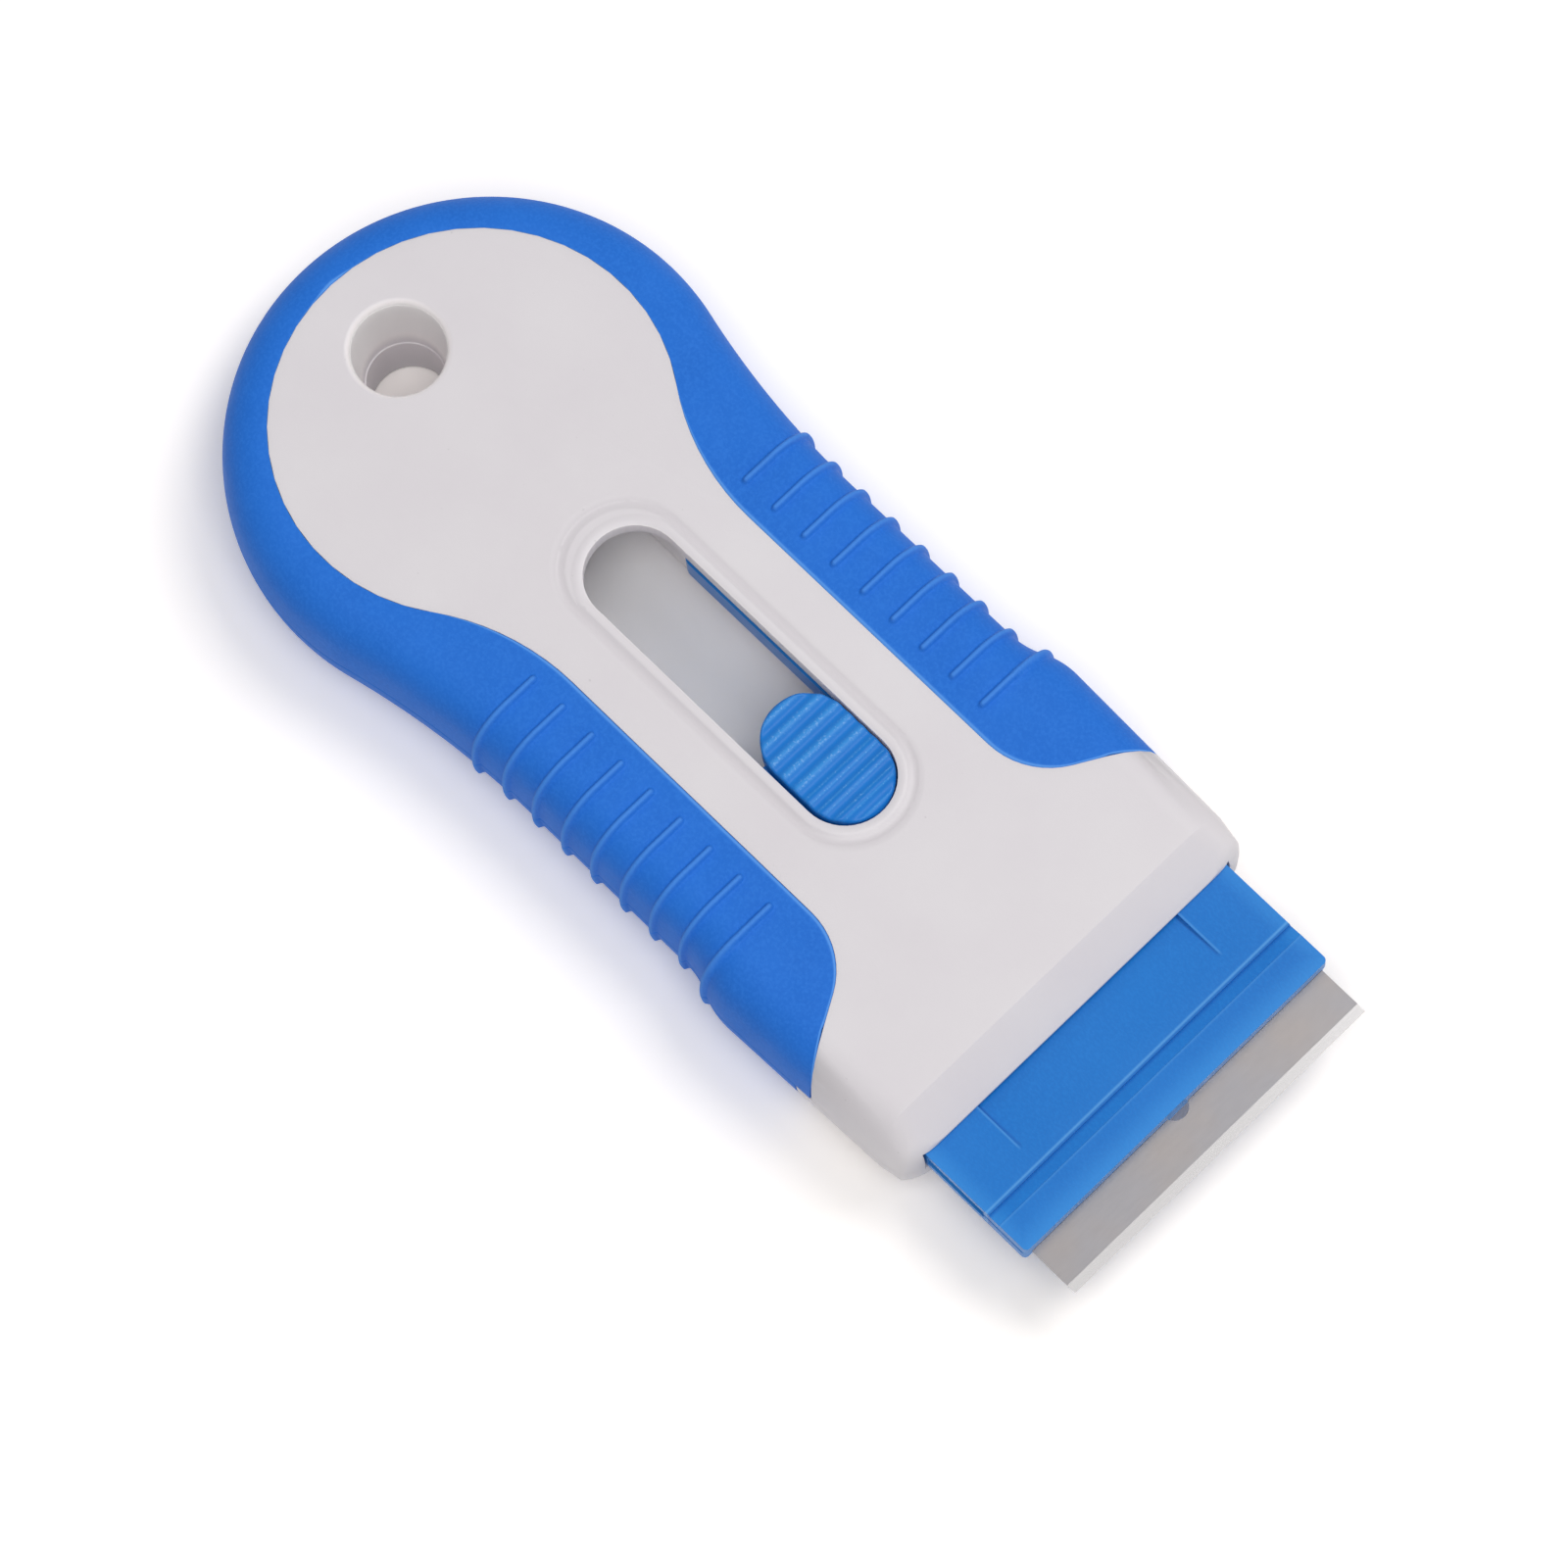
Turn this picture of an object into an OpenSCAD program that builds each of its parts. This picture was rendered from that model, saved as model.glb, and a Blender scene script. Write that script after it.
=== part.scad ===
// Pocket scraper with a retractable single edged blade
// Origin on the axis of the hanging hole at the underside, X towards the blade, Z up

/* [Housing outline] */
// Radius of the round head
head_r = 25.3; // [24.8:0.1:28]
// Distance from the hanging hole to the centre of the head
head_x = 11.4; // [10:0.1:13]
// Width of the waist as a share of the head
waist_share = 0.8636; // [0.85:0.0001:0.88]
// Where the straight grip begins
waist_x = 40; // [38:0.5:43]
// Where the grip begins to widen towards the front
flare_x = 61; // [60:0.5:62]
// Length over which the grip widens
flare_len = 7; // [6:0.5:9]
// Width of the shoulders as a share of the head
shoulder_share = 0.9269; // [0.92:0.0001:0.95]
// Width at the front as a share of the head
front_share = 0.8972; // [0.89:0.0001:0.91]
// Front face of the housing
front_x = 91.4; // [90.5:0.1:93]
// Radius that bends the front face back towards its two corners
corner_r = 3.1; // [2:0.1:3.5]

/* [Housing section] */
// Thickness of the closed housing
body_h = 14.8; // [14.4:0.1:16]
// Height of the seam as a share of the body height
seam_share = 0.527027; // [0.5:0.000001:0.54]
// Radius of the bulging sides as a share of the body height
side_share = 1.148649; // [1:0.000001:1.3]
// Angle that the side bulges through before the edge rounds over
side_turn = 12.5; // [10:0.5:14]
// Length of the nose, where the housing draws down to its front lip
nose_len = 3.7; // [2.5:0.1:4.5]
// Height of the lip at the front as a share of the full height
nose_share = 0.507; // [0.49:0.001:0.7]
// How far the sides draw in along the nose
nose_in = 0.4; // [0.1:0.05:0.8]
// Angle through which the front face bends back before its sharp corner
corner_turn = 52; // [40:1:60]
// Wall of the shells
wall = 1.8; // [1.5:0.1:2]
// Thickness of the soft overmould
skin = 1.2; // [0.9:0.1:1.4]
// Thickness of the housing behind the front face
lip_w = 5.4; // [4.5:0.1:7]

/* [Overmould line] */
// Radius of the bare face round the head as a share of the head
bare_share = 0.7747; // [0.72:0.0001:0.82]
// Distance from the hanging hole to the centre of the bare round
bare_x = 10.3; // [9:0.1:12]
// Width of the bare strip along the grip
strip_w = 23.1; // [22:0.1:25]
// Where the bare strip becomes straight
strip_x = 36; // [34:0.5:38]
// Where the line starts to sweep out to the side
sweep_x = 68; // [66:0.5:69]
// Radius of that sweep
sweep_r = 8.2; // [7:0.1:10]
// Angle that the sweep turns through
sweep_turn = 60; // [50:1:65]
// How much further out the line lies along the underside of the grip
under_shift = 3.5; // [3:0.1:4]

/* [Grip ribs] */
// Ribs on each side
rib_count = 9; // [5:1:10]
// First rib
rib_x = 33.17; // [32:0.1:34]
// Spacing of the ribs
rib_pitch = 3.966; // [3.5:0.1:4]
// Width of a rib
rib_w = 1; // [0.7:0.1:1.4]
// How far a rib stands out
rib_h = 0.5; // [0.3:0.1:0.7]
// Distance from the middle to the inner ends of the ribs
rib_in = 13.5; // [13:0.1:15]
// How far the ribs run below the seam
rib_drop = 3.4; // [2:0.1:3.6]

/* [Hanging hole] */
// Radius of the hole
hang_r = 3.9; // [3:0.1:4.2]
// Radius of the hole at the top face
hang_top_r = 4.7; // [4.3:0.1:4.9]
// Rounding of the rim
hang_rim = 0.6; // [0.2:0.05:0.7]
// Ledge round the hanging hole where the tube meets the lower shell
hang_step = 0.15; // [0.05:0.05:0.3]
// Wall of the upper tube
tube_wall = 1.6; // [1.2:0.1:2]
// How far the upper tube dips into the lower one
tube_dip = 1.6; // [0.6:0.1:2]

/* [Slot] */
// Rear end of the slot
slot_x = 27.5; // [27.3:0.1:28.6]
// Front end of the slot
slot_front_x = 65.7; // [65.3:0.1:66.5]
// Width of the slot
slot_w = 9.8; // [9.6:0.1:10.2]
// Width of the rolled rim round the slot
bead_w = 1.2; // [0.9:0.05:1.6]
// Height of the rolled rim
bead_h = 0.12; // [0.08:0.01:0.2]
// Radius of the groove outside the rim
groove_r = 1.4; // [1:0.05:1.8]
// Depth of that groove
groove_d = 0.1; // [0.06:0.01:0.16]
// How far the groove's bottom lies outside the rim
groove_out = 0.35; // [0.2:0.05:0.6]
// How much further out the groove lies behind the slot
groove_rear = 0.8; // [0:0.05:1.2]

/* [Blade] */
// Length of the blade
blade_len = 38.1; // [37.8:0.1:38.3]
// Thickness of the blade
blade_t = 0.23; // [0.2:0.01:0.3]
// Cutting edge
edge_x = 110; // [108:0.1:111]
// Width of the ground bevel
grind_w = 1; // [0.6:0.1:1.6]
// Height of the blade as a share of the body height
blade_share = 0.608108; // [0.6:0.000001:0.615]
// Radius of the hole in the blade
eye_r = 1.4; // [1:0.1:1.8]
// Distance of that hole from the cutting edge
eye_back = 6.1; // [5:0.1:7]
// Radius of the round end notches
notch_r = 1.57; // [1:0.1:2]
// Distance of the notches from the cutting edge
notch_back = 9.1; // [8.5:0.1:9.5]

/* [Blade spine] */
// Width of the folded spine
spine_w = 6.65; // [6:0.05:7]
// Thickness over the folded spine
spine_t = 1.25; // [1:0.05:1.3]
// How far the spine runs past each end of the blade
spine_over = 0.3; // [0:0.05:0.4]
// Radius of the front corners of the spine
spine_r = 3.5; // [1:0.1:4]
// Gap between the spine and the front of the housing
spine_gap = 0.25; // [0.2:0.05:0.5]

/* [Blade carrier] */
// Housing beyond the carrier at each side of the front
cheek = 2.93; // [2.85:0.01:3.1]
// Front edge of the carrier
carrier_x = 104.4; // [103.5:0.1:105]
// Underside of the lower jaw below the blade
jaw_under = 1.75; // [1.6:0.05:1.8]
// Top of the upper jaw above the blade
jaw_over = 1.75; // [1.7:0.05:1.8]
// Rear end of the wide part
jaw_rear_x = 88; // [87.8:0.1:88.6]
// Length of the narrow part behind it
tail_len = 8; // [6:0.1:10]
// How far the tail is drawn in from the carrier at each side
tail_in = 2.27; // [2.1:0.01:3.5]
// Rear ends of the two arms
arm_x = 33; // [32.5:0.1:34]
// Width between the arms
arm_gap = 10.1; // [10:0.1:10.6]
// Width of an arm
arm_w = 2.6; // [2:0.1:2.8]
// Underside of the arms below the blade
arm_under = 1; // [0.8:0.05:1.2]
// Top of the arms above the blade
arm_over = 2; // [1.8:0.05:2.1]
// Clearance of the blade in its slit
blade_fit = 0.11; // [0.08:0.01:0.15]
// Clearance of the spine in its channel
spine_fit = 0.22; // [0.15:0.01:0.3]
// Clearance of the carrier in the mouth
mouth_fit = 0.3; // [0.25:0.01:0.35]
// Travel of the carrier
travel = 22; // [20:0.1:22.2]

/* [Carrier top] */
// Width of the sloping recess
recess_w = 26.2; // [20:0.1:30]
// Front end of the recess
recess_x = 97; // [96:0.1:98]
// Depth of the recess at the front face of the housing
recess_d = 0.55; // [0.2:0.05:0.7]
// Rear edge of the cross groove
score_x = 99.5; // [99:0.1:101]
// Width of the cross groove
score_w = 1.35; // [0.9:0.05:1.6]
// Depth of the cross groove at its rear wall
score_d = 0.25; // [0.1:0.05:0.4]
// Depth at its front edge as a share of that
score_share = 0.25; // [0.1:0.05:0.6]
// Radius of the front corners of the carrier
carrier_r = 0.5; // [0.3:0.1:2]

/* [Thumb button] */
// Length of the button
button_len = 14.3; // [13:0.1:15]
// Clearance of the button at each side of the slot
button_fit = 0.22; // [0.15:0.01:0.4]
// Gap between the button and the front end of the slot
button_gap = 0.3; // [0.3:0.1:1.2]
// How far the button stays below the face of the housing
button_sink = 0.45; // [0:0.05:1]
// Waves on the button
wave_count = 9; // [6:1:10]
// Height of the waves
wave_h = 0.42; // [0.2:0.02:0.6]
// How far the top of the button is dished
dish_h = 0.5; // [0.2:0.05:0.9]
// Travel of the button
press = 1.2; // [0.8:0.1:1.25]

/* [Button mechanism] */
// Thickness of the flange under the button
flange_t = 1.15; // [0.9:0.05:1.3]
// How far the flange reaches past the button at each side
flange_over = 1.5; // [1:0.1:1.6]
// Gap between the flange and the ceiling
flange_gap = 0.3; // [0.2:0.05:0.5]
// How far the flange and the deck under it stay in front of the button's rear
deck_in = 3; // [2:0.1:3.2]
// Thickness of the deck between the arms
deck_t = 1.5; // [1.2:0.1:1.8]
// Radius inside the spring cup
cup_r = 3; // [2.8:0.1:3.2]
// Wall of the spring cup
cup_wall = 0.9; // [0.7:0.1:1.1]
// Depth of the spring cup as a share of the height under the deck
cup_share = 0.534125; // [0.5:0.000001:0.55]
// Radius of the guide post
post_r = 1.4; // [1.2:0.1:1.6]
// Clearance of the post in its hole
post_fit = 0.1; // [0.05:0.01:0.15]
// Radius of the spring coil
coil_r = 2.15; // [2:0.05:2.3]
// Radius of the spring wire
wire_r = 0.25; // [0.2:0.01:0.3]
// Turns of the spring
coil_turns = 4.5; // [3:0.5:5]

/* [Screws] */
// Radius of a screw head
screw_head_r = 2.25; // [2:0.05:2.4]
// Height of a screw head
screw_head_h = 1.5; // [1:0.1:1.7]
// Radius of a screw shank
shank_r = 1.25; // [1:0.05:1.35]
// Radius of the screw bosses
boss_r = 3.2; // [3:0.1:3.3]
// How far the screws are sunk in
screw_sink = 0.5; // [0.3:0.1:0.8]
// Place of the screw in the head
head_screw_x = 16; // [15:0.1:17]
// Place of the two screws in the grip
grip_screw_x = 50; // [46:0.1:52]
// Distance of those two from the middle
grip_screw_y = 11.4; // [11.3:0.1:11.6]

/* [Hidden] */
$fn = 48;

// Overrun of every cut
over = 1;
// Clearance between parts that only pass each other
slip = 0.25;
// Clearance of the screws in their holes
screw_fit = 0.05;

// Outline, half widths and the radii that make its arcs run into each other
waist_hw = head_r * waist_share;
shoulder_hw = head_r * shoulder_share;
front_hw = head_r * front_share;
waist_run = waist_x - head_x;
waist_r = (waist_run * waist_run + waist_hw * waist_hw - head_r * head_r) / (2 * (head_r - waist_hw));
waist_a = atan2(waist_hw + waist_r, waist_run);
shoulder_x = flare_x + flare_len;
flare_a = 2 * atan2(shoulder_hw - waist_hw, flare_len);
flare_r = flare_len / 2 / sin(flare_a);
taper_a = atan2(shoulder_hw - front_hw, front_x - shoulder_x);

// Overmould line
bare_r = head_r * bare_share;
strip_hw = strip_w / 2;
strip_run = strip_x - bare_x;
under_hw = strip_hw + under_shift;

// Steps along the arcs and up the rounded edge
head_n = 16;
waist_n = 9;
flare_n = 4;
corner_n = 4;
bulge_n = 2;
edge_n = 4;

// Heights of the two halves
seam_z = body_h * seam_share;
side_r = body_h * side_share;
upper_h = body_h - seam_z;
lower_h = seam_z;
cover = wall + skin;

// Slot and button
slot_hw = slot_w / 2;
slot_rear_c = slot_x + slot_hw;
slot_front_c = slot_front_x - slot_hw;
button_hw = slot_hw - button_fit;
button_front = slot_front_x - button_gap;
button_rear = button_front - button_len;
button_x = (button_front + button_rear) / 2;
button_z = body_h - button_sink;
ceiling_z = body_h - wall;
flange_top = ceiling_z - flange_gap;
flange_z = flange_top - flange_t;
deck_z = flange_z - press - slip / 2;
cup_z = deck_z - (deck_z - wall) * cup_share;
cup_floor = cup_wall * 0.8;
cup_in_z = cup_z + cup_floor;

// Heights of the jaws and arms, from the blade
blade_z = body_h * blade_share;
jaw_z = blade_z - jaw_under;
jaw_top_z = blade_z + jaw_over;
arm_z = blade_z - arm_under;
arm_top_z = blade_z + arm_over;

// Arms and deck
arm_in = arm_gap / 2;
arm_out = arm_in + arm_w;
deck_rear = button_rear + deck_in;
deck_front = button_front + arm_w;

// Mouth, blade channel and jaws
carrier_hw = front_hw - cheek;
carrier_w = carrier_hw * 2;
tail_w = carrier_w - 2 * tail_in;
mouth_hw = carrier_hw + mouth_fit;
mouth_z = jaw_z - slip;
mouth_top_z = jaw_top_z + slip;
mouth_rear_x = jaw_rear_x - travel - slip * 2;
spine_x = front_x + spine_gap;
spine_front = spine_x + spine_w;
spine_hl = blade_len / 2 + spine_over;
channel_h = spine_t + 2 * spine_fit;
channel_x = spine_x - spine_fit;
channel_front = spine_front + spine_fit * 2;
slit_h = blade_t + 2 * blade_fit;
lower_jaw_x = carrier_x - carrier_r / 2;

// Radius that rounds the side over into the flat face, for a half of height h
function edge_r(h) = (h - side_r * sin(side_turn)) / (1 - sin(side_turn));

// Points of an arc, with or without its first point
function arc(cx, cy, r, from, to, n, first) =
    [for (i = [first:n]) let (a = from + (to - from) * i / n) [cx + r * cos(a), cy + r * sin(a)]];

// Place along the nose of a body whose front face is at xf, none behind it and whole at the front
function along_nose(x, xf) = max(0, (x - xf) / nose_len + 1);

// Share of the full height that is left at x, when the nose draws down to the share low
function nose_h(x, xf, low) = 1 - (1 - low) * along_nose(x, xf);

// Half outline of the housing, drawn in by s, with its front face at xf and its nose drawn in by draw
function half_outline(s, xf, low, draw) =
    let (cx = shoulder_x, cy = shoulder_hw - flare_r,
         px = cx + flare_r * sin(taper_a), py = cy + flare_r * cos(taper_a),
         nx = xf - nose_len, tx = xf - corner_r * (1 - cos(corner_turn)),
         ny = py - (nx - px) * tan(taper_a) - s,
         ty = py - (tx - px) * tan(taper_a) - s * nose_h(tx, xf, low) - draw * along_nose(tx, xf))
    concat(
        arc(head_x, 0, head_r - s, 180, waist_a, head_n, 0),
        arc(waist_x, waist_hw + waist_r, waist_r + s, waist_a + 180, 270, waist_n, 1),
        arc(flare_x, waist_hw + flare_r, flare_r + s, 270, 270 + flare_a, flare_n, 0),
        arc(cx, cy, max(flare_r - s, slip), 90 + flare_a, 90 - taper_a, flare_n, 1),
        [[nx, ny]],
        arc(xf - corner_r, ty - corner_r * sin(corner_turn), corner_r, corner_turn, 0, corner_n, 0));

// Whole loop, the half outline and its mirror image
function loop(half) = concat(half, [for (i = [len(half) - 1:-1:1]) [half[i][0], -half[i][1]]]);

// Rings up the side of a half: how far each is drawn in, and its height above the seam
function rings(h, d) =
    let (er = edge_r(h), ci = side_r - (side_r - er) * cos(side_turn), cz = (side_r - er) * sin(side_turn))
    concat(
        [for (i = [0:bulge_n]) let (a = side_turn * i / bulge_n)
            [side_r - (side_r - d) * cos(a), (side_r - d) * sin(a)]],
        [for (i = [1:edge_n]) let (a = side_turn + (90 - side_turn) * i / edge_n)
            [ci - (er - d) * cos(a), cz + (er - d) * sin(a)]]);

// Moulded half: loops stacked along the rings, drawn in by d, up or down from the seam,
// with a nose drawn down to the share low of its height and in by draw
module half_body(h, d, xf, up, low, draw) {
    rs = rings(h, d);
    loops = [for (r = rs) loop(half_outline(r[0], xf, low, draw))];
    n = len(loops[0]);
    m = len(rs);
    hn = (n + 1) / 2;
    pts = [for (k = [0:m - 1]) for (p = loops[k])
        [p[0], p[1], seam_z + up * rs[k][1] * nose_h(p[0], xf, low)]];
    sides = [for (k = [0:m - 2]) for (i = [0:n - 1]) let (j = (i + 1) % n)
        for (f = [[k * n + i, (k + 1) * n + i, (k + 1) * n + j], [k * n + i, (k + 1) * n + j, k * n + j]]) f];
    top = (m - 1) * n;
    caps = [for (i = [1:hn - 2]) for (f = [
        [i, i + 1, n - i - 1], [i, n - i - 1, n - i],
        [top + i, top + n - i - 1, top + i + 1], [top + i, top + n - i, top + n - i - 1]]) f];
    tips = [[0, 1, n - 1], [top, top + n - 1, top + 1]];
    faces = concat(sides, caps, tips);
    polyhedron(points = pts, faces = up > 0 ? [for (f = faces) [f[2], f[1], f[0]]] : faces);
}

// Half of the region inside the overmould line, hw from the middle along the grip, moved out by g
function bare_half(hw, g) =
    let (br = (strip_run * strip_run + hw * hw - bare_r * bare_r) / (2 * (bare_r - hw)),
         ba = atan2(hw + br, strip_run), end_a = 270 + sweep_turn, r = sweep_r - g,
         sx = sweep_x + r * cos(end_a), sy = hw + sweep_r + r * sin(end_a), run = head_r * 2)
    concat(
        arc(bare_x, 0, bare_r + g, 180, ba, head_n, 0),
        arc(strip_x, hw + br, br - g, ba + 180, 270, waist_n, 1),
        arc(sweep_x, hw + sweep_r, r, 270, end_a, waist_n, 0),
        [[sx + run * cos(sweep_turn), sy + run * sin(sweep_turn)],
         [front_x + run, sy + run * sin(sweep_turn)]]);

module bare_region(hw) {
    translate([0, 0, -over]) linear_extrude(height = body_h + 2 * over) polygon(loop(bare_half(hw, 0)));
}

// Hollow that thins a shell to its wall under its bare face, where that face is flat
module bare_hollow(h, hw, z0, z1) {
    flat_in = side_r - (side_r - edge_r(h)) * cos(side_turn);
    translate([0, 0, z0]) linear_extrude(height = z1 - z0) intersection() {
        polygon(loop(bare_half(hw, -wall)));
        polygon(loop(half_outline(flat_in, front_x - lip_w, 1, 0)));
    }
}

// Slot shape grown by g
module slot_shape(g) {
    translate([slot_rear_c, 0]) circle(r = slot_hw + g);
    translate([slot_front_c, 0]) circle(r = slot_hw + g);
    translate([slot_rear_c, -slot_hw - g]) square([slot_front_c - slot_rear_c, slot_w + 2 * g]);
}

// A section carried once round the slot at distance d outside its edge, and back further at the rear
module round_slot(d, back) {
    for (s = [0, 1]) mirror([0, s, 0]) translate([slot_rear_c - back, slot_hw + d, body_h])
        rotate([90, 0, 90]) linear_extrude(height = slot_front_c - slot_rear_c + back) children();
    translate([slot_front_c, 0, body_h]) rotate([0, 0, -90])
        rotate_extrude(angle = 180) translate([slot_hw + d, 0]) children();
    translate([slot_rear_c - back, 0, body_h]) rotate([0, 0, 90])
        rotate_extrude(angle = 180) translate([slot_hw + d, 0]) children();
}

// Rolled rim, a low arc across its width
bead_hw = bead_w / 2;
bead_r = (bead_hw * bead_hw + bead_h * bead_h) / (2 * bead_h);
module bead_section() {
    intersection() {
        translate([0, bead_h - bead_r]) circle(r = bead_r);
        translate([-bead_hw, -wall / 2]) square([bead_w, wall / 2 + bead_h + over]);
    }
}

// How far the bosses run into the ceiling, still under the overmould beside the bare face
boss_root = (wall - skin) / 2;

// Places of the screws
screw_places = [[head_screw_x, 0], [grip_screw_x, grip_screw_y], [grip_screw_x, -grip_screw_y]];
screw_seat = screw_sink + screw_head_h;

// Cut for the carrier through the front of both shells
module mouth() {
    translate([mouth_rear_x, -mouth_hw, mouth_z])
        cube([front_x - mouth_rear_x + over, 2 * mouth_hw, mouth_top_z - mouth_z]);
}

// Rounding cut at the upper rim of the hanging hole
module rim_cut(r, z) {
    translate([0, 0, z]) rotate_extrude() difference() {
        translate([0, -hang_rim]) square([r + hang_rim, hang_rim + over]);
        translate([r + hang_rim, -hang_rim]) circle(r = hang_rim);
    }
}

guide_out = arm_out + slip;
rail_rear = arm_x - travel;
rail_len = deck_rear - rail_rear;
tube_r = hang_r + tube_wall;
upper_rail_w = wall * 0.6;

module upper_shell() {
    color([0.86, 0.845, 0.85])
    difference() {
        union() {
            difference() {
                union() {
                    intersection() {
                        half_body(upper_h, 0, front_x, 1, nose_share, nose_in);
                        bare_region(strip_hw);
                    }
                    half_body(upper_h, skin, front_x - skin, 1, nose_share, nose_in);
                    round_slot(bead_hw, 0) bead_section();
                }
                half_body(upper_h, cover, front_x - lip_w, 1, 1, 0);
                bare_hollow(upper_h, strip_hw, seam_z, ceiling_z);
                mouth();
            }
            translate([0, 0, seam_z - tube_dip])
                cylinder(r = tube_r, h = ceiling_z - seam_z + tube_dip + wall / 2);
            for (p = screw_places) translate([p[0], p[1], seam_z])
                cylinder(r = boss_r - screw_fit, h = ceiling_z - seam_z + boss_root);
            for (s = [0, 1]) mirror([0, s, 0])
                translate([rail_rear, arm_out - upper_rail_w, arm_top_z + slip])
                    cube([rail_len, upper_rail_w * 2, ceiling_z - arm_top_z]);
        }
        translate([0, 0, seam_z - tube_dip - over]) cylinder(r = hang_r + hang_step, h = over * 2);
        translate([0, 0, seam_z - tube_dip])
            cylinder(r1 = hang_r + hang_step, r2 = hang_top_r, h = upper_h + tube_dip);
        rim_cut(hang_top_r, body_h);
        translate([0, 0, seam_z]) linear_extrude(height = upper_h + bead_h + over) slot_shape(0);
        round_slot(bead_w + groove_out, groove_rear) translate([0, groove_r - groove_d]) circle(r = groove_r);
        for (p = screw_places) translate([p[0], p[1], seam_z - over])
            cylinder(r = shank_r + screw_fit, h = over + ceiling_z - seam_z);
    }
}

module lower_shell() {
    color([0.83, 0.815, 0.82])
    difference() {
        union() {
            difference() {
                union() {
                    intersection() {
                        half_body(lower_h, 0, front_x, -1, nose_share, nose_in);
                        bare_region(under_hw);
                    }
                    half_body(lower_h, skin, front_x - skin, -1, nose_share, nose_in);
                }
                half_body(lower_h, cover, front_x - lip_w, -1, 1, 0);
                bare_hollow(lower_h, under_hw, wall, seam_z);
                mouth();
            }
            cylinder(r = tube_r + tube_wall, h = seam_z);
            for (p = screw_places) translate([p[0], p[1], 0]) cylinder(r = boss_r, h = seam_z);
            for (s = [0, 1]) mirror([0, s, 0])
                translate([rail_rear, arm_out - upper_rail_w, wall / 2])
                    cube([rail_len, upper_rail_w, arm_z - slip - wall / 2 - max(0, arm_z - slip - seam_z)]);
        }
        translate([0, 0, -over]) cylinder(r = hang_r, h = seam_z + 2 * over);
        translate([0, 0, seam_z - tube_dip - screw_fit])
            cylinder(r = tube_r + screw_fit, h = tube_dip + screw_fit + over);
        for (p = screw_places) translate([p[0], p[1], 0]) {
            translate([0, 0, -over]) cylinder(r = screw_head_r + slip / 2, h = screw_seat + over);
            cylinder(r = shank_r + screw_fit * 3, h = seam_z + over);
        }
    }
}

// Half width of the housing where a rib crosses it
function hw_at(x) = x >= waist_x ? waist_hw
    : waist_hw + waist_r - sqrt(waist_r * waist_r - (waist_x - x) * (waist_x - x));

// Section of the housing side at half width hw, grown by g, out from the line y0
function side_section(h, g, hw, y0) =
    let (rs = rings(h, -g)) concat([[y0, 0]], [for (r = rs) [hw - r[0], r[1]]], [[y0, h + g]]);

// One rib, a slice of the grown section from its inner end over the edge
module rib(i, h, up) {
    x = rib_x + i * rib_pitch;
    translate([x - rib_w / 2, 0, seam_z]) mirror([0, 0, up > 0 ? 0 : 1]) rotate([90, 0, 90])
        linear_extrude(height = rib_w) polygon(side_section(h, rib_h, hw_at(x), rib_in));
}

module ribs(h, up) {
    for (i = [0:rib_count - 1]) for (s = [0, 1]) mirror([0, s, 0]) rib(i, h, up);
}

// Block that keeps the lower ribs to the side above their lower ends
module rib_reach() {
    translate([0, -head_r - over, seam_z - rib_drop])
        cube([shoulder_x, 2 * head_r + 2 * over, rib_drop]);
}

module upper_grip() {
    color([0.18, 0.43, 0.79])
    difference() {
        union() {
            difference() {
                half_body(upper_h, 0, front_x, 1, nose_share, nose_in);
                bare_region(strip_hw);
            }
            ribs(upper_h, 1);
        }
        half_body(upper_h, skin, front_x - skin, 1, nose_share, nose_in);
    }
}

module lower_grip() {
    color([0.18, 0.43, 0.79])
    difference() {
        union() {
            difference() {
                half_body(lower_h, 0, front_x, -1, nose_share, nose_in);
                bare_region(under_hw);
            }
            intersection() {
                ribs(lower_h, -1);
                rib_reach();
            }
        }
        half_body(lower_h, skin, front_x - skin, -1, nose_share, nose_in);
    }
}

// Plate from x0 to x1 with round front corners
module plate(x0, x1, hw, z0, z1, r) {
    pts = concat([[x0, -hw]], arc(x1 - r, -hw + r, r, 270, 360, head_n / 2, 0),
        arc(x1 - r, hw - r, r, 0, 90, head_n / 2, 0), [[x0, hw]]);
    translate([0, 0, z0]) linear_extrude(height = z1 - z0) polygon(pts);
}

tail_x = jaw_rear_x - tail_len;

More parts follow.
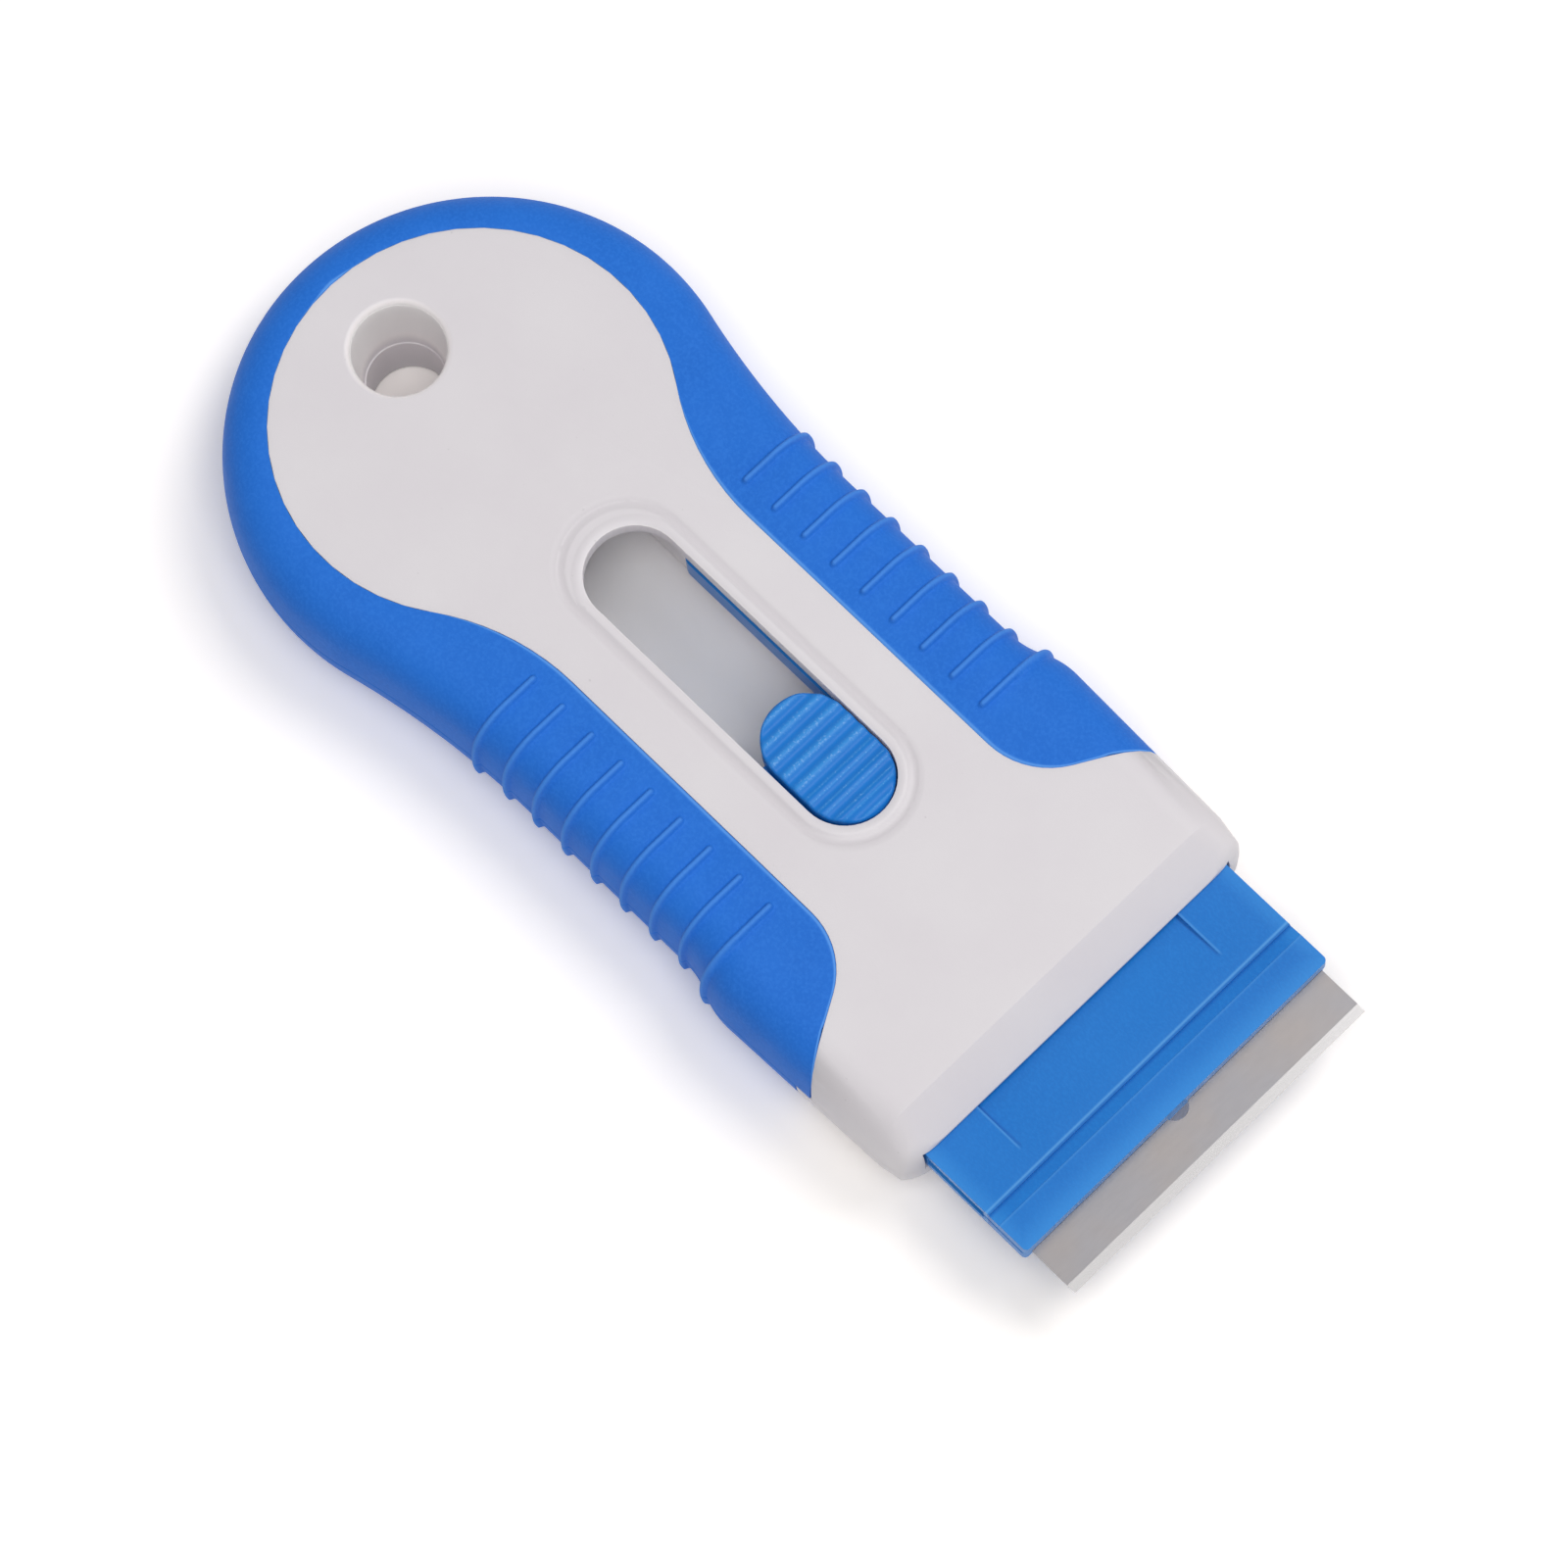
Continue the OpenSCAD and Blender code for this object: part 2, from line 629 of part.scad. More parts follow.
module blade_carrier() {
    color([0.2, 0.51, 0.83])
    difference() {
        union() {
            plate(jaw_rear_x, carrier_x, carrier_hw, blade_z, jaw_top_z, carrier_r);
            plate(jaw_rear_x, lower_jaw_x, carrier_hw, jaw_z, blade_z, carrier_r);
            translate([tail_x, -tail_w / 2, jaw_z]) cube([tail_len, tail_w, jaw_top_z - jaw_z]);
            for (s = [0, 1]) mirror([0, s, 0]) translate([arm_x, arm_in, arm_z]) difference() {
                cube([tail_x - arm_x + arm_w, arm_w, arm_top_z - arm_z]);
                translate([-over, -over, -over]) cube([arm_w / 2 + over, arm_w / 2 + over, arm_top_z]);
            }
            for (s = [0, 1]) mirror([0, s, 0]) translate([arm_x + arm_w / 2, arm_in + arm_w / 2, arm_z])
                cylinder(r = arm_w / 2, h = arm_top_z - arm_z);
            translate([deck_rear, -arm_in - arm_w / 2, deck_z - deck_t])
                cube([deck_front - deck_rear, arm_gap + arm_w, deck_t]);
            translate([button_x, 0, cup_z]) cylinder(r = cup_r + cup_wall, h = deck_z - cup_z);
        }
        translate([channel_x, -carrier_hw - over, blade_z - channel_h / 2])
            cube([channel_front - channel_x, carrier_w + 2 * over, channel_h]);
        translate([channel_x, -carrier_hw - over, blade_z - slit_h / 2])
            cube([carrier_x - channel_x + over, carrier_w + 2 * over, slit_h]);
        translate([0, recess_w / 2, 0]) rotate([90, 0, 0]) linear_extrude(height = recess_w)
            polygon([[recess_x, jaw_top_z], [front_x, jaw_top_z - recess_d],
                [tail_x - slip, jaw_top_z - recess_d], [tail_x - slip, jaw_top_z + over],
                [recess_x, jaw_top_z + over]]);
        translate([0, carrier_hw + over, 0]) rotate([90, 0, 0]) linear_extrude(height = carrier_w + 2 * over)
            polygon([[score_x, jaw_top_z - score_d], [score_x + score_w, jaw_top_z - score_d * score_share],
                [score_x + score_w, jaw_top_z + over], [score_x, jaw_top_z + over]]);
        translate([deck_rear - slip, -arm_out - over, deck_z])
            cube([deck_front - deck_rear + 2 * slip, 2 * arm_out + 2 * over, body_h]);
        translate([button_x, 0, cup_in_z]) cylinder(r = cup_r, h = deck_z - cup_in_z + over);
        translate([button_x, 0, cup_z - over]) cylinder(r = post_r + post_fit, h = cup_floor + 2 * over);
    }
}

// Top of the button, waves across a dished face
wave_steps = 8;
function wave_top(t) = button_z - wave_h / 2 + wave_h / 2 * cos(360 * wave_count * t)
    - dish_h * (1 - pow(2 * t - 1, 2));

module button_block() {
    n = wave_count * wave_steps;
    top = [for (i = [0:n]) [button_rear + button_len * i / n, wave_top(i / n)]];
    translate([0, button_hw + over, 0]) rotate([90, 0, 0]) linear_extrude(height = 2 * (button_hw + over))
        polygon(concat([[button_front, flange_top - flange_t / 2], [button_rear, flange_top - flange_t / 2]], top));
}

barb_h = post_r;
post_end = cup_z - slip / 2 - barb_h;

module thumb_button() {
    color([0.23, 0.51, 0.8])
    difference() {
        union() {
            intersection() {
                button_block();
                linear_extrude(height = body_h * 2) {
                    translate([button_rear + button_hw, 0]) circle(r = button_hw);
                    translate([button_front - button_hw, 0]) circle(r = button_hw);
                    translate([button_rear + button_hw, -button_hw])
                        square([button_len - 2 * button_hw, 2 * button_hw]);
                }
            }
            translate([button_rear + deck_in, -button_hw - flange_over, flange_z])
                cube([button_len - deck_in - flange_t, 2 * (button_hw + flange_over), flange_t]);
            translate([button_x, 0, post_end]) cylinder(r = post_r, h = flange_z - post_end + flange_t / 2);
            translate([button_x, 0, post_end]) cylinder(r1 = post_r - post_fit, r2 = post_r + post_fit * 4, h = barb_h);
        }
        translate([button_x - post_fit * 2, -cup_r, post_end - over])
            cube([post_fit * 4, 2 * cup_r, over + barb_h + cup_floor + slip]);
    }
}

// Spring, one round wire wound up from the cup floor to the flange
coil_sides = 6;
coil_steps = 12;
coil_z = cup_in_z + wire_r + screw_fit;
coil_rise = flange_z - cup_in_z - 2 * (wire_r + screw_fit);
echo(str("Gap between spring turns ", coil_rise / coil_turns - 2 * wire_r, " mm"));

module button_spring() {
    n = coil_steps * coil_turns;
    pts = [for (i = [0:n]) for (k = [0:coil_sides - 1])
        let (a = 360 * i / coil_steps, b = 360 * k / coil_sides, r = coil_r + wire_r * cos(b))
        [button_x + r * cos(a), r * sin(a), coil_z + coil_rise * i / n + wire_r * sin(b)]];
    sides = [for (i = [0:n - 1]) for (k = [0:coil_sides - 1])
        let (p = i * coil_sides + k, q = i * coil_sides + (k + 1) % coil_sides)
        for (f = [[p, p + coil_sides, q + coil_sides], [p, q + coil_sides, q]]) f];
    ends = [for (k = [1:coil_sides - 2]) for (f = [[0, k, k + 1],
        [n * coil_sides, n * coil_sides + k + 1, n * coil_sides + k]]) f];
    color([0.62, 0.62, 0.64]) polyhedron(points = pts, faces = concat(sides, ends));
}

// Blade, ground to its edge, with the centre hole and the notched ends
blade_hl = blade_len / 2;
leg_t = (spine_t - blade_t) / 2;
blade_rear = spine_x + leg_t;
notch_in = notch_r * 1.35;
notch_mouth = notch_r * 1.5;

module blade() {
    color([0.65, 0.64, 0.65])
    difference() {
        translate([0, blade_hl, blade_z]) rotate([90, 0, 0]) linear_extrude(height = blade_len)
            polygon([[blade_rear, -blade_t / 2], [edge_x - grind_w, -blade_t / 2], [edge_x, -blade_t / 24],
                [edge_x, blade_t / 24], [edge_x - grind_w, blade_t / 2], [blade_rear, blade_t / 2]]);
        translate([edge_x - eye_back, 0, blade_z - over]) cylinder(r = eye_r, h = 2 * over);
        for (s = [0, 1]) mirror([0, s, 0]) translate([edge_x - notch_back, blade_hl, blade_z - over]) {
            translate([0, -notch_in, 0]) cylinder(r = notch_r, h = 2 * over);
            linear_extrude(height = 2 * over) polygon([[-notch_r, -notch_in], [notch_r * 0.9, -notch_in * 0.65],
                [notch_mouth, over], [-notch_mouth, over], [-notch_mouth, 0]]);
        }
    }
}

dimple_r = spine_t;
dimple_d = leg_t * 0.4;

module blade_spine() {
    color([0.84, 0.83, 0.83])
    difference() {
        intersection() {
            translate([0, spine_hl, blade_z]) rotate([90, 0, 0]) linear_extrude(height = 2 * spine_hl) {
                translate([spine_x + spine_t / 2, 0]) circle(r = spine_t / 2);
                translate([spine_x + spine_t / 2, -spine_t / 2]) square([spine_w - spine_t / 2, spine_t]);
            }
            plate(spine_x - over, spine_front, spine_hl, blade_z - spine_t, blade_z + spine_t, spine_r);
        }
        translate([blade_rear, -spine_hl - over, blade_z - blade_t / 2])
            cube([spine_w, 2 * (spine_hl + over), blade_t]);
        for (s = [0, 1]) mirror([0, s, 0])
            translate([spine_x + spine_w * 0.55, spine_hl - dimple_r * 0.7, blade_z + spine_t / 2 + dimple_r - dimple_d])
                sphere(r = dimple_r);
    }
}

drive_w = shank_r * 0.45;
drive_len = screw_head_r * 1.2;
screw_len = ceiling_z - screw_seat - wall;

module shell_screws() {
    color([0.7, 0.7, 0.72])
    for (p = screw_places) translate([p[0], p[1], screw_sink]) difference() {
        union() {
            cylinder(r = screw_head_r, h = screw_head_h);
            cylinder(r = shank_r, h = screw_head_h + screw_len);
        }
        for (a = [0, 90]) rotate([0, 0, a]) translate([-drive_len / 2, -drive_w / 2, -over])
            cube([drive_len, drive_w, over + screw_head_h * 0.6]);
    }
}

upper_shell();
lower_shell();
upper_grip();
lower_grip();
blade_carrier();
thumb_button();
button_spring();
blade();
blade_spine();
shell_screws();
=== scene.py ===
import bpy, bmesh
import numpy as np
from mathutils import Matrix


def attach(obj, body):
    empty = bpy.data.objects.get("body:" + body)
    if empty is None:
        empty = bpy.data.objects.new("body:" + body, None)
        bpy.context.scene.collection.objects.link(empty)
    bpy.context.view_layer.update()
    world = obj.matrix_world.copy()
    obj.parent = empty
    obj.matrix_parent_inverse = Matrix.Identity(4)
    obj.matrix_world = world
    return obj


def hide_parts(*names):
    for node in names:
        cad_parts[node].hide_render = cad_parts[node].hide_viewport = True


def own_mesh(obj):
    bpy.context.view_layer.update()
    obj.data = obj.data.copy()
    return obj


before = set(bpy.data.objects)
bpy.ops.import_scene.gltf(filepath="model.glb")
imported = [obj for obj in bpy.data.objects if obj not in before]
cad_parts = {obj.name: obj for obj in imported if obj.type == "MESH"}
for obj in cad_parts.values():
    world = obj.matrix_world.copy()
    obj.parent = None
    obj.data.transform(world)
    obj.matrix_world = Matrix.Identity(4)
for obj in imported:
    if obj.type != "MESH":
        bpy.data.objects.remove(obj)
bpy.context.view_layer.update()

mm = 0.001
print("stage: frame loaded")


# Quads between neighbouring rows of a closed ring of points, numbered row after row from base.
def ringQuads(rows, count, base=0):
    i, j = np.meshgrid(np.arange(rows - 1), np.arange(count), indexing="ij")
    k = (j + 1) % count
    quads = np.stack([i * count + j, i * count + k, (i + 1) * count + k, (i + 1) * count + j], -1)
    return (base + quads).reshape(-1, 4)


# Grid surface: points[i, j] is the place for step i along the piece and step j round its section;
# neighbouring steps are joined by quads, and the first and last sections are closed by one face each.
def meshFromGrid(name, points, mat, smooth, wearAndHighlight=None):
    rows, count = points.shape[:2]
    ends = np.arange(rows * count).reshape(rows, count)
    faces = ringQuads(rows, count).tolist() + [ends[0, ::-1].tolist(), ends[-1].tolist()]
    return meshFromPoints(name, points.reshape(-1, 3), faces, mat, smooth, wearAndHighlight)


# A mesh from places in millimetres, with how much rubbing and painted highlight each place carries.
def meshFromPoints(name, points, faces, mat, smooth, wearAndHighlight=None):
    mesh = bpy.data.meshes.new(name)
    mesh.from_pydata((points * mm).tolist(), [], faces)
    if wearAndHighlight is not None:
        rubbedAndLit = mesh.attributes.new("wearAndHighlight", "FLOAT", "POINT")
        rubbedAndLit.data.foreach_set("value", wearAndHighlight.ravel().astype(np.float32))
    return finishMesh(name, mesh, mat, smooth)


# Merges doubled points, turns the faces outwards and shades smooth up to the given angle.
def finishMesh(name, mesh, mat, smooth, merge=0.002):
    bm = bmesh.new()
    bm.from_mesh(mesh)
    bmesh.ops.remove_doubles(bm, verts=bm.verts, dist=merge * mm)
    bmesh.ops.dissolve_degenerate(bm, edges=bm.edges, dist=merge * mm * 0.5)
    bmesh.ops.recalc_face_normals(bm, faces=bm.faces)
    bm.to_mesh(mesh)
    bm.free()
    mesh.shade_smooth()
    mesh.set_sharp_from_angle(angle=np.radians(smooth))
    piece = bpy.data.objects.new(name, mesh)
    bpy.context.scene.collection.objects.link(piece)
    mesh.materials.append(mat)
    return piece


# A merged copy of a solid, flat regions joined into single faces, with its sharp edges softened.
def copyOfNode(node, name, mat, smooth, bevel=0, merge=0.0008, flat=0.6, bevelFrom=34):
    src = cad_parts[node].data
    bm = bmesh.new()
    bm.from_mesh(src)
    bmesh.ops.remove_doubles(bm, verts=bm.verts, dist=merge * mm)
    bmesh.ops.dissolve_limit(bm, angle_limit=np.radians(flat), verts=bm.verts, edges=bm.edges)
    mesh = bpy.data.meshes.new(name)
    bm.to_mesh(mesh)
    bm.free()
    mesh.shade_smooth()
    mesh.set_sharp_from_angle(angle=np.radians(smooth))
    mesh.materials.clear()
    mesh.materials.append(mat)
    piece = bpy.data.objects.new(name, mesh)
    bpy.context.scene.collection.objects.link(piece)
    if bevel:
        soften = piece.modifiers.new("softEdges", "BEVEL")
        soften.width, soften.segments = bevel * mm, 2
        soften.limit_method, soften.angle_limit = "ANGLE", np.radians(bevelFrom)
        soften.harden_normals = True
        soften.use_clamp_overlap = True
    even = piece.modifiers.new("evenShade", "WEIGHTED_NORMAL")
    even.keep_sharp = True
    return piece


def srgb(r, g, b):
    c = np.array([r, g, b]) / 255.0
    return tuple(np.where(c <= 0.04045, c / 12.92, ((c + 0.055) / 1.055) ** 2.4)) + (1.0,)


def baseMaterial(name, colour, rough, metallic=0.0, **sockets):
    mat = bpy.data.materials.new(name)
    mat.use_nodes = True
    mat.diffuse_color = colour
    shader = mat.node_tree.nodes["Principled BSDF"]
    shader.inputs["Base Color"].default_value = colour
    shader.inputs["Roughness"].default_value = rough
    shader.inputs["Metallic"].default_value = metallic
    for key, value in sockets.items():
        shader.inputs[key.replace("_", " ")].default_value = value
    return mat, mat.node_tree, shader


def addNode(tree, kind, **values):
    node = tree.nodes.new(kind)
    for key, value in values.items():
        if key in node.inputs:
            node.inputs[key].default_value = value
        else:
            setattr(node, key, value)
    return node


def objectPlace(tree, scale=(1, 1, 1)):
    coord = addNode(tree, "ShaderNodeTexCoord")
    mapping = addNode(tree, "ShaderNodeMapping", Scale=scale)
    tree.links.new(coord.outputs["Object"], mapping.inputs["Vector"])
    return mapping.outputs["Vector"]


def noise(tree, place, scale, detail=3.0, rough=0.55):
    node = addNode(tree, "ShaderNodeTexNoise", Scale=scale, Detail=detail, Roughness=rough)
    tree.links.new(place, node.inputs["Vector"])
    return node.outputs["Fac"]


def ramp(tree, fac, stops):
    node = addNode(tree, "ShaderNodeValToRGB")
    while len(node.color_ramp.elements) < len(stops):
        node.color_ramp.elements.new(0.5)
    for element, (at, colour) in zip(node.color_ramp.elements, stops):
        element.position, element.color = at, colour if len(colour) == 4 else tuple(colour) + (1,)
    tree.links.new(fac, node.inputs["Fac"])
    return node.outputs["Color"]


def grey(v):
    return (v, v, v, 1)


# Height over whatever bump the shader already has; a full step of it stands for distance, in metres.
def bump(tree, shader, height, strength, distance=0.0001):
    node = addNode(tree, "ShaderNodeBump", Strength=strength, Distance=distance)
    tree.links.new(height, node.inputs["Height"])
    if shader.inputs["Normal"].links:
        tree.links.new(shader.inputs["Normal"].links[0].from_socket, node.inputs["Normal"])
    tree.links.new(node.outputs["Normal"], shader.inputs["Normal"])


# Colour under, with the fixed colour over laid on it where fac is 1.
def blend(tree, fac, under, over):
    mix = addNode(tree, "ShaderNodeMix", data_type="RGBA")
    mix.inputs["B"].default_value = over
    tree.links.new(fac, mix.inputs["Factor"])
    tree.links.new(under, mix.inputs["A"])
    return mix.outputs["Result"]


# Gloss that drifts between two roughnesses with a noise.
def uneven(tree, shader, fac, low, high, glossy, dull):
    tree.links.new(ramp(tree, fac, [(low, grey(glossy)), (high, grey(dull))]), shader.inputs["Roughness"])


# Lays a colour over by the mesh's own wear attribute, which marks rubbed places and painted highlights.
def wornAndHighlit(tree, under, over):
    wearAndHighlight = addNode(tree, "ShaderNodeAttribute", attribute_name="wearAndHighlight")
    return blend(tree, wearAndHighlight.outputs["Fac"], under, over)


# Fine pale grain over a colour.
def grained(tree, place, under, over, scale):
    fac = ramp(tree, noise(tree, place, scale, 2, 0.5), [(0.42, grey(0)), (0.68, grey(0.5))])
    return blend(tree, fac, under, over)


# One of the object's own coordinates, in metres.
def axisOf(tree, axis):
    coord = addNode(tree, "ShaderNodeTexCoord")
    split = addNode(tree, "ShaderNodeSeparateXYZ")
    tree.links.new(coord.outputs["Object"], split.inputs["Vector"])
    return split.outputs[axis]


# A Math node; each value is a socket or a number.
def calc(tree, operation, *values):
    node = addNode(tree, "ShaderNodeMath", operation=operation)
    for socket, value in zip(node.inputs, values):
        if isinstance(value, (int, float)):
            socket.default_value = value
        else:
            tree.links.new(value, socket)
    return node.outputs[0]


# Goes smoothly from atLow, where value is low, to atHigh, where it is high.
def span(tree, value, low, high, atLow, atHigh):
    rise = addNode(tree, "ShaderNodeMapRange", interpolation_type="SMOOTHSTEP")
    for key, at in {"From Min": low, "From Max": high, "To Min": atLow, "To Max": atHigh}.items():
        rise.inputs[key].default_value = at
    tree.links.new(value, rise.inputs["Value"])
    return rise.outputs["Result"]


# Rises from 0 at low to most at high along one axis of the object, both ways from the middle.
def band(tree, axis, low, high, most):
    return span(tree, calc(tree, "ABSOLUTE", axisOf(tree, axis)), low, high, 0.0, most)


# A thin line across an axis, on both sides of the middle: most at the place, 0 at half beyond it.
def hair(tree, axis, at, half, most):
    off = calc(tree, "SUBTRACT", calc(tree, "ABSOLUTE", axisOf(tree, axis)), at)
    return span(tree, calc(tree, "ABSOLUTE", off), 0.0, half, most, 0.0)


# Distance, in plan, from the stretch of the middle line between rear and front.
def fromLine(tree, rear, front):
    x = axisOf(tree, "X")
    near = calc(tree, "MINIMUM", calc(tree, "MAXIMUM", x, rear), front)
    away = calc(tree, "SUBTRACT", x, near)
    y = axisOf(tree, "Y")
    squares = calc(tree, "ADD", calc(tree, "MULTIPLY", away, away), calc(tree, "MULTIPLY", y, y))
    return calc(tree, "SQRT", squares)


# Colours as red, green and blue from 0 to 255
finishes = dict(shell=(221, 216, 219), shellDeep=(217, 212, 216), shellPale=(221, 217, 220),
                shellDust=(206, 202, 205), shellInsidePaintedLight=(252, 245, 245), shellHollowShade=(208, 203, 207),
                grip=(32, 112, 212), gripDeep=(28, 106, 204), gripGrain=(44, 122, 220),
                gripWornAndHighlight=(96, 162, 240),
                carrier=(20, 117, 201), carrierDeep=(15, 109, 193), carrierGrain=(27, 123, 207),
                carrierEdgeLight=(66, 158, 234), carrierArmLight=(44, 140, 222), carrierFootShade=(8, 86, 168),
                carrierEdgeHighlight=(110, 180, 236),
                button=(16, 120, 206), buttonDeep=(12, 112, 198), buttonWornAndHighlight=(78, 164, 232),
                buttonScuffAndGlint=(150, 196, 244),
                steel=(143, 141, 144), steelBrown=(152, 141, 132), steelBlue=(136, 142, 150),
                steelGround=(182, 180, 180),
                spine=(176, 175, 177), spring=(170, 170, 174), screw=(190, 190, 194))
tone = {name: srgb(*colour) for name, colour in finishes.items()}

# Places of the finishes in metres: the slot's middle line, how far from it the inside and the rim's
# hollow lie, the hanging tube's radius, and the heights between which each comes in. A scale, here and
# for the other pieces, is a noise's: about how many of its patches lie in a metre.
shellLook = dict(insideRear=0.0324, insideFront=0.0608, floorIn=(0.00475, 0.00505), cavityIn=(0.0095, 0.0105),
                 cavityTop=(0.0124, 0.0128), underside=(0.0008, 0.0014), tubeIn=(0.0046, 0.0053),
                 tubeFrom=(0.0062, 0.0082), soak=(0.15, 0.9), rimRear=0.0312, rimFront=0.0611, rimAway=0.0064,
                 rimHalf=0.0009, rimFrom=(0.011, 0.013), rimShade=0.7, rimBump=0.35, rimDeep=0.0002,
                 mottleScale=90, speckScale=1500, glossScale=60, gloss=(0.38, 0.47),
                 skinScale=5200, skinBump=0.05)

# Moulded white plastic: even, faintly mottled, with a fine spark-eroded skin and a few specks
shellPlastic, tree, shader = baseMaterial("shellPlastic", tone["shell"], 0.42, Subsurface_Weight=0.25,
                                          Subsurface_Radius=(1, 1, 1), Subsurface_Scale=0.0022)
place = objectPlace(tree)
mottle = noise(tree, place, shellLook["mottleScale"], 4)
tint = ramp(tree, mottle, [(0.25, tone["shellDeep"]), (0.75, tone["shellPale"])])
speck = noise(tree, place, shellLook["speckScale"], 1, 0.4)
speck = ramp(tree, speck, [(0.17, grey(1)), (0.2, grey(0))])
tint = blend(tree, speck, tint, tone["shellDust"])
# painted light: inside the slot and the hanging tube the plastic is painted whiter, to come as
# bright as the photograph shows it
height = axisOf(tree, "Z")
fromSlot = fromLine(tree, shellLook["insideRear"], shellLook["insideFront"])
inFloor = span(tree, fromSlot, *shellLook["floorIn"], 1.0, 0.0)
inCavity = calc(tree, "MULTIPLY", span(tree, fromSlot, *shellLook["cavityIn"], 1.0, 0.0),
                span(tree, height, *shellLook["cavityTop"], 1.0, 0.0))
inSlot = calc(tree, "MULTIPLY", calc(tree, "MAXIMUM", inFloor, inCavity),
              span(tree, height, *shellLook["underside"], 0.0, 1.0))
inHole = calc(tree, "MULTIPLY", span(tree, fromLine(tree, 0.0, 0.0), *shellLook["tubeIn"], 1.0, 0.0),
              span(tree, height, *shellLook["tubeFrom"], 0.0, 1.0))
inside = calc(tree, "MAXIMUM", inSlot, inHole)
tint = blend(tree, inside, tint, tone["shellInsidePaintedLight"])
# and light soaks further into those thin walls
tree.links.new(span(tree, inside, 0.0, 1.0, *shellLook["soak"]), shader.inputs["Subsurface Weight"])
# painted shade: the rolled rim of the slot ends in a soft hollow, painted a little darker than the rest
fromRim = calc(tree, "SUBTRACT", fromLine(tree, shellLook["rimRear"], shellLook["rimFront"]),
               shellLook["rimAway"])
hollow = calc(tree, "MULTIPLY",
              span(tree, calc(tree, "ABSOLUTE", fromRim), 0.0, shellLook["rimHalf"], 1.0, 0.0),
              span(tree, height, *shellLook["rimFrom"], 0.0, 1.0))
tint = blend(tree, calc(tree, "MULTIPLY", hollow, shellLook["rimShade"]), tint, tone["shellHollowShade"])
tree.links.new(tint, shader.inputs["Base Color"])
uneven(tree, shader, noise(tree, place, shellLook["glossScale"], 3), 0.2, 0.8, *shellLook["gloss"])
bump(tree, shader, noise(tree, place, shellLook["skinScale"], 2), shellLook["skinBump"])
bump(tree, shader, calc(tree, "SUBTRACT", 1.0, hollow), shellLook["rimBump"], shellLook["rimDeep"])

gripSkin = dict(mottleScale=130, grainScale=3000, glossScale=220, gloss=(0.55, 0.68),
                bumpScale=3600, bump=0.28)

# Soft overmould: matt, grainy, a shade darker in patches, paler on the rib crests and the lip, partly where
# it is rubbed and partly as painted highlight
gripRubber, tree, shader = baseMaterial("gripRubber", tone["grip"], 0.62, Specular_IOR_Level=0.22)
place = objectPlace(tree)
mottle = noise(tree, place, gripSkin["mottleScale"], 5, 0.65)
tint = ramp(tree, mottle, [(0.3, tone["gripDeep"]), (0.7, tone["grip"])])
tint = wornAndHighlit(tree, grained(tree, place, tint, tone["gripGrain"], gripSkin["grainScale"]), tone["gripWornAndHighlight"])
tree.links.new(tint, shader.inputs["Base Color"])
uneven(tree, shader, noise(tree, place, gripSkin["glossScale"], 4), 0.25, 0.75, *gripSkin["gloss"])
bump(tree, shader, noise(tree, place, gripSkin["bumpScale"], 3, 0.7), gripSkin["bump"])

# Places of the carrier's finishes in metres. A line is where it lies, its half width and its strength.
carrierLook = dict(frontLightBand=(0.1016, 0.1048, 0.42), sideLightBand=(0.0176, 0.0199, 0.3),
                   arms=(0.056, 0.062, 0.55),
                   grooveFootShade=(0.09952, 0.0004, 0.5), grooveRearHighlight=(0.09915, 0.00022, 0.45),
                   grooveFrontHighlight=(0.10095, 0.0002, 0.15), marksEnd=(0.0965, 0.0973),
                   markFootShade=(0.01295, 0.00022, 0.55), markEdgeHighlight=(0.01322, 0.00018, 0.3),
                   mottleScale=70, grainScale=4200, glossScale=150, gloss=(0.3, 0.42),
                   bumpScale=4200, bump=0.08)

# Carrier plastic: satin blue with faint flow marks along the slide
carrierPlastic, tree, shader = baseMaterial("carrierPlastic", tone["carrier"], 0.36, Specular_IOR_Level=0.3)
place = objectPlace(tree, (0.6, 1.0, 1.0))
mottle = noise(tree, place, carrierLook["mottleScale"], 4)
tint = ramp(tree, mottle, [(0.25, tone["carrierDeep"]), (0.75, tone["carrier"])])
tint = grained(tree, place, tint, tone["carrierGrain"], carrierLook["grainScale"])
# painted light: paler towards its front and side edges, as thin plastic looks with light through it
edgeLight = calc(tree, "MAXIMUM", band(tree, "X", *carrierLook["frontLightBand"]),
            band(tree, "Y", *carrierLook["sideLightBand"]))
tint = blend(tree, edgeLight, tint, tone["carrierEdgeLight"])
# painted light: the two arms that run back under the slot are painted a paler blue where they lie in shade
armsUpTo, armsGone, armsMost = carrierLook["arms"]
tint = blend(tree, span(tree, axisOf(tree, "X"), armsUpTo, armsGone, armsMost, 0.0), tint, tone["carrierArmLight"])
# painted shade darkens the cross groove and the two marks at the foot, and painted highlights lighten their
# edges
tint = blend(tree, hair(tree, "X", *carrierLook["grooveFootShade"]), tint, tone["carrierFootShade"])
tint = blend(tree, hair(tree, "X", *carrierLook["grooveRearHighlight"]), tint, tone["carrierEdgeHighlight"])
tint = blend(tree, hair(tree, "X", *carrierLook["grooveFrontHighlight"]), tint, tone["carrierEdgeHighlight"])
marks = span(tree, axisOf(tree, "X"), *carrierLook["marksEnd"], 1.0, 0.0)
for line, colour in (("markFootShade", "carrierFootShade"), ("markEdgeHighlight", "carrierEdgeHighlight")):
    tint = blend(tree, calc(tree, "MULTIPLY", marks, hair(tree, "Y", *carrierLook[line])), tint, tone[colour])
tree.links.new(tint, shader.inputs["Base Color"])
uneven(tree, shader, noise(tree, place, carrierLook["glossScale"], 3), 0.25, 0.75, *carrierLook["gloss"])
bump(tree, shader, noise(tree, place, carrierLook["bumpScale"], 2), carrierLook["bump"])

